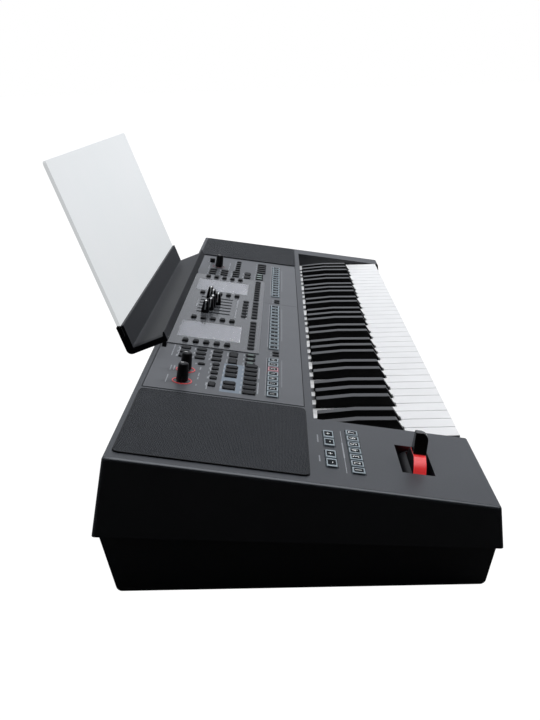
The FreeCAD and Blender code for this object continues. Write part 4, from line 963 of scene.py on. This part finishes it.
buttonWords = []
for nodeName in ("left_section_buttons", "right_section_buttons"):
    for low, high in deckIslands(nodeName):
        middle = ((low.x + high.x) / 2 - caseLow.x) / mm
        reach = (high.x - low.x) / mm * legends["shareOfButton"] / 2
        buttonWords.append((middle - reach, middle + reach, high.y / mm + legends["aboveMm"]))
printPlate("panel_legends", "control_panel", panelWords + buttonWords, panelLines, "case")
printPlate("display_legends", "display_panel", displayWords, [], "case")
printPlate("cheek_legends", "top_case", cheekWords, cheekLines, "case")

# the pale printed field round the wide buttons at the bass end, as left, right, front and rear in mm
field = dict(
    thickMm=0.02,
    spans=(
        (190, 283, 218, 224.2),
        (190, 283, 237.6, 239.6),
        (190, 197, 224.2, 237.6),
        (223.2, 236.3, 224.2, 237.6),
        (277, 283, 224.2, 237.6),
    ),
)
bm = bmesh.new()
fieldZ = nodeBounds("control_panel")[1].z
for left, right, front, rear in field["spans"]:
    x = caseLow.x + (left + right) / 2 * mm
    size = ((right - left) * mm, (rear - front) * mm, field["thickMm"] * mm)
    deckPlate(bm, x, (front + rear) / 2 * mm, fieldZ, *size)
addPiece("panel_field", ontoDeck(bm), finish["boxInk"], "case")
print("legends printed")

# stage: a white paper floor that keeps a trace of shadow
stage = dict(floorSize=60.0, floorShade="f4f4f4", bounceShade="404040", shadowShare=0.06, paperGlow=1.09)
bm = bmesh.new()
bmesh.ops.create_grid(bm, x_segments=1, y_segments=1, size=stage["floorSize"] / 2)
floorMesh = bpy.data.meshes.new("floor")
bm.to_mesh(floorMesh)
bm.free()
floor = bpy.data.objects.new("floor", floorMesh)
scene.collection.objects.link(floor)
white = (1, 1, 1, 1)
floorMaterial, tree, place = startMaterial("floorPaper")
shown = addNode(tree, "ShaderNodeLightPath").outputs["Is Camera Ray"]
paper = addNode(tree, "ShaderNodeBsdfDiffuse", {"Color": linear(stage["floorShade"])})
glow = addNode(tree, "ShaderNodeEmission", {"Color": white, "Strength": stage["paperGlow"]})
lit = {1: glow.outputs[0], 2: paper.outputs[0]}
bright = addNode(tree, "ShaderNodeMixShader", {"Fac": stage["shadowShare"]}, lit)
bounce = addNode(tree, "ShaderNodeBsdfDiffuse", {"Color": linear(stage["bounceShade"])})
both = addNode(tree, "ShaderNodeMixShader", links={"Fac": shown, 1: bounce.outputs[0], 2: bright.outputs[0]})
endMaterial(tree, both)
floorMesh.materials.append(floorMaterial)

# the studio: camera rays see white, mirrored rays the bright side and zenith, others a soft fill
studio = dict(
    fill=0.25,
    brightSide=0.7,
    darkSide=0.01,
    darkFrom=-0.25,
    brightFrom=0.55,
    zenith=4.0,
    zenithFrom=0.8,
    zenithTo=0.92,
    tint="f4f8ff",
)
world = bpy.data.worlds.new("studio")
scene.world = world
world.use_nodes = True
tree = world.node_tree
tree.nodes.clear()
direction = addNode(tree, "ShaderNodeTexCoord").outputs["Generated"]
along = addNode(tree, "ShaderNodeSeparateXYZ", links={0: direction})
span = {
    "From Min": studio["darkFrom"],
    "From Max": studio["brightFrom"],
    "To Min": studio["darkSide"],
    "To Max": studio["brightSide"],
}
side = addNode(tree, "ShaderNodeMapRange", span, {"Value": along.outputs["X"]}).outputs["Result"]
seen = addNode(tree, "ShaderNodeLightPath")
shown = seen.outputs["Is Camera Ray"]
tint = {"Color": linear(studio["tint"])}
overhead = {"From Min": studio["zenithFrom"], "From Max": studio["zenithTo"], "To Max": studio["zenith"]}
above = addNode(tree, "ShaderNodeMapRange", overhead, {"Value": along.outputs["Z"]}).outputs["Result"]
brighter = addNode(tree, "ShaderNodeMath", {"operation": "MAXIMUM"}, {0: side, 1: above}).outputs[0]
mirrored = addNode(tree, "ShaderNodeBackground", tint, {"Strength": brighter})
dimmed = addNode(tree, "ShaderNodeMath", {"operation": "MULTIPLY", 1: studio["fill"]}, {0: side})
soft = addNode(tree, "ShaderNodeBackground", tint, {"Strength": dimmed.outputs[0]})
backdrop = addNode(tree, "ShaderNodeBackground", {"Color": white, "Strength": 1.0})
glossyRays = {"Fac": seen.outputs["Is Glossy Ray"], 1: soft.outputs[0], 2: mirrored.outputs[0]}
lighting = addNode(tree, "ShaderNodeMixShader", links=glossyRays)
cameraRays = {"Fac": shown, 1: lighting.outputs[0], 2: backdrop.outputs[0]}
final = addNode(tree, "ShaderNodeMixShader", links=cameraRays)
addNode(tree, "ShaderNodeOutputWorld", links={"Surface": final.outputs[0]})


def areaLight(name, values):
    lamp = bpy.data.lights.new(name, "AREA")
    lamp.shape = "RECTANGLE"
    lamp.size = values["width"]
    lamp.size_y = values["height"]
    lamp.energy = values["power"]
    holder = bpy.data.objects.new(name, lamp)
    scene.collection.objects.link(holder)
    holder.visible_glossy = False
    azimuth = math.radians(values["azimuth"])
    rise = math.radians(values["elevation"])
    flat = math.cos(rise)
    away = Vector((flat * math.cos(azimuth), flat * math.sin(azimuth), math.sin(rise)))
    holder.location = away * values["distance"]
    holder.rotation_euler = away.to_track_quat("Z", "Y").to_euler()


lamps = {
    "keyLight": dict(width=2.7, height=2.7, power=355, azimuth=-16, elevation=27, distance=9.0),
    "topLight": dict(width=2.4, height=2.4, power=24, azimuth=0, elevation=78, distance=3.0),
    "frontLight": dict(width=1.8, height=1.4, power=77, azimuth=-72, elevation=40, distance=3.0),
    "rearLight": dict(width=2.0, height=1.0, power=36, azimuth=95, elevation=18, distance=3.5),
}
for name, values in lamps.items():
    areaLight(name, values)

# camera at the photograph's place, fitted to the keys and the case's corners
view = dict(
    fromLeftEnd=0.67515,
    fromFrontLip=0.16823,
    aboveFloor=0.40282,
    yaw=0.016,
    pitch=0.292,
    roll=-0.028,
    focalPixels=940.08,
    centrePixels=(274.09, 359.84),
    imagePixels=(540, 720),
    sensorMm=36,
    clipFrom=0.01,
)
flat = math.cos(view["pitch"])
forward = Vector((flat * math.cos(view["yaw"]), flat * math.sin(view["yaw"]), -math.sin(view["pitch"])))
level = Vector((math.sin(view["yaw"]), -math.cos(view["yaw"]), 0))
upright = level.cross(forward)
right = level * math.cos(view["roll"]) + upright * math.sin(view["roll"])
up = upright * math.cos(view["roll"]) - level * math.sin(view["roll"])
lens = bpy.data.cameras.new("photoCamera")
lens.sensor_width = view["sensorMm"]
longSide = max(view["imagePixels"])
lens.lens = view["focalPixels"] / longSide * lens.sensor_width
lens.shift_x = (view["imagePixels"][0] / 2 - view["centrePixels"][0]) / longSide
lens.shift_y = (view["centrePixels"][1] - view["imagePixels"][1] / 2) / longSide
lens.clip_start = view["clipFrom"]
camera = bpy.data.objects.new("photoCamera", lens)
scene.collection.objects.link(camera)
turned = Matrix((right, up, -forward)).transposed().to_4x4()
turned.translation = (caseLow.x - view["fromLeftEnd"], caseLow.y + view["fromFrontLip"], view["aboveFloor"])
camera.matrix_world = turned
scene.camera = camera
scene.view_settings.view_transform = "Standard"
print("stage, lights and camera set")
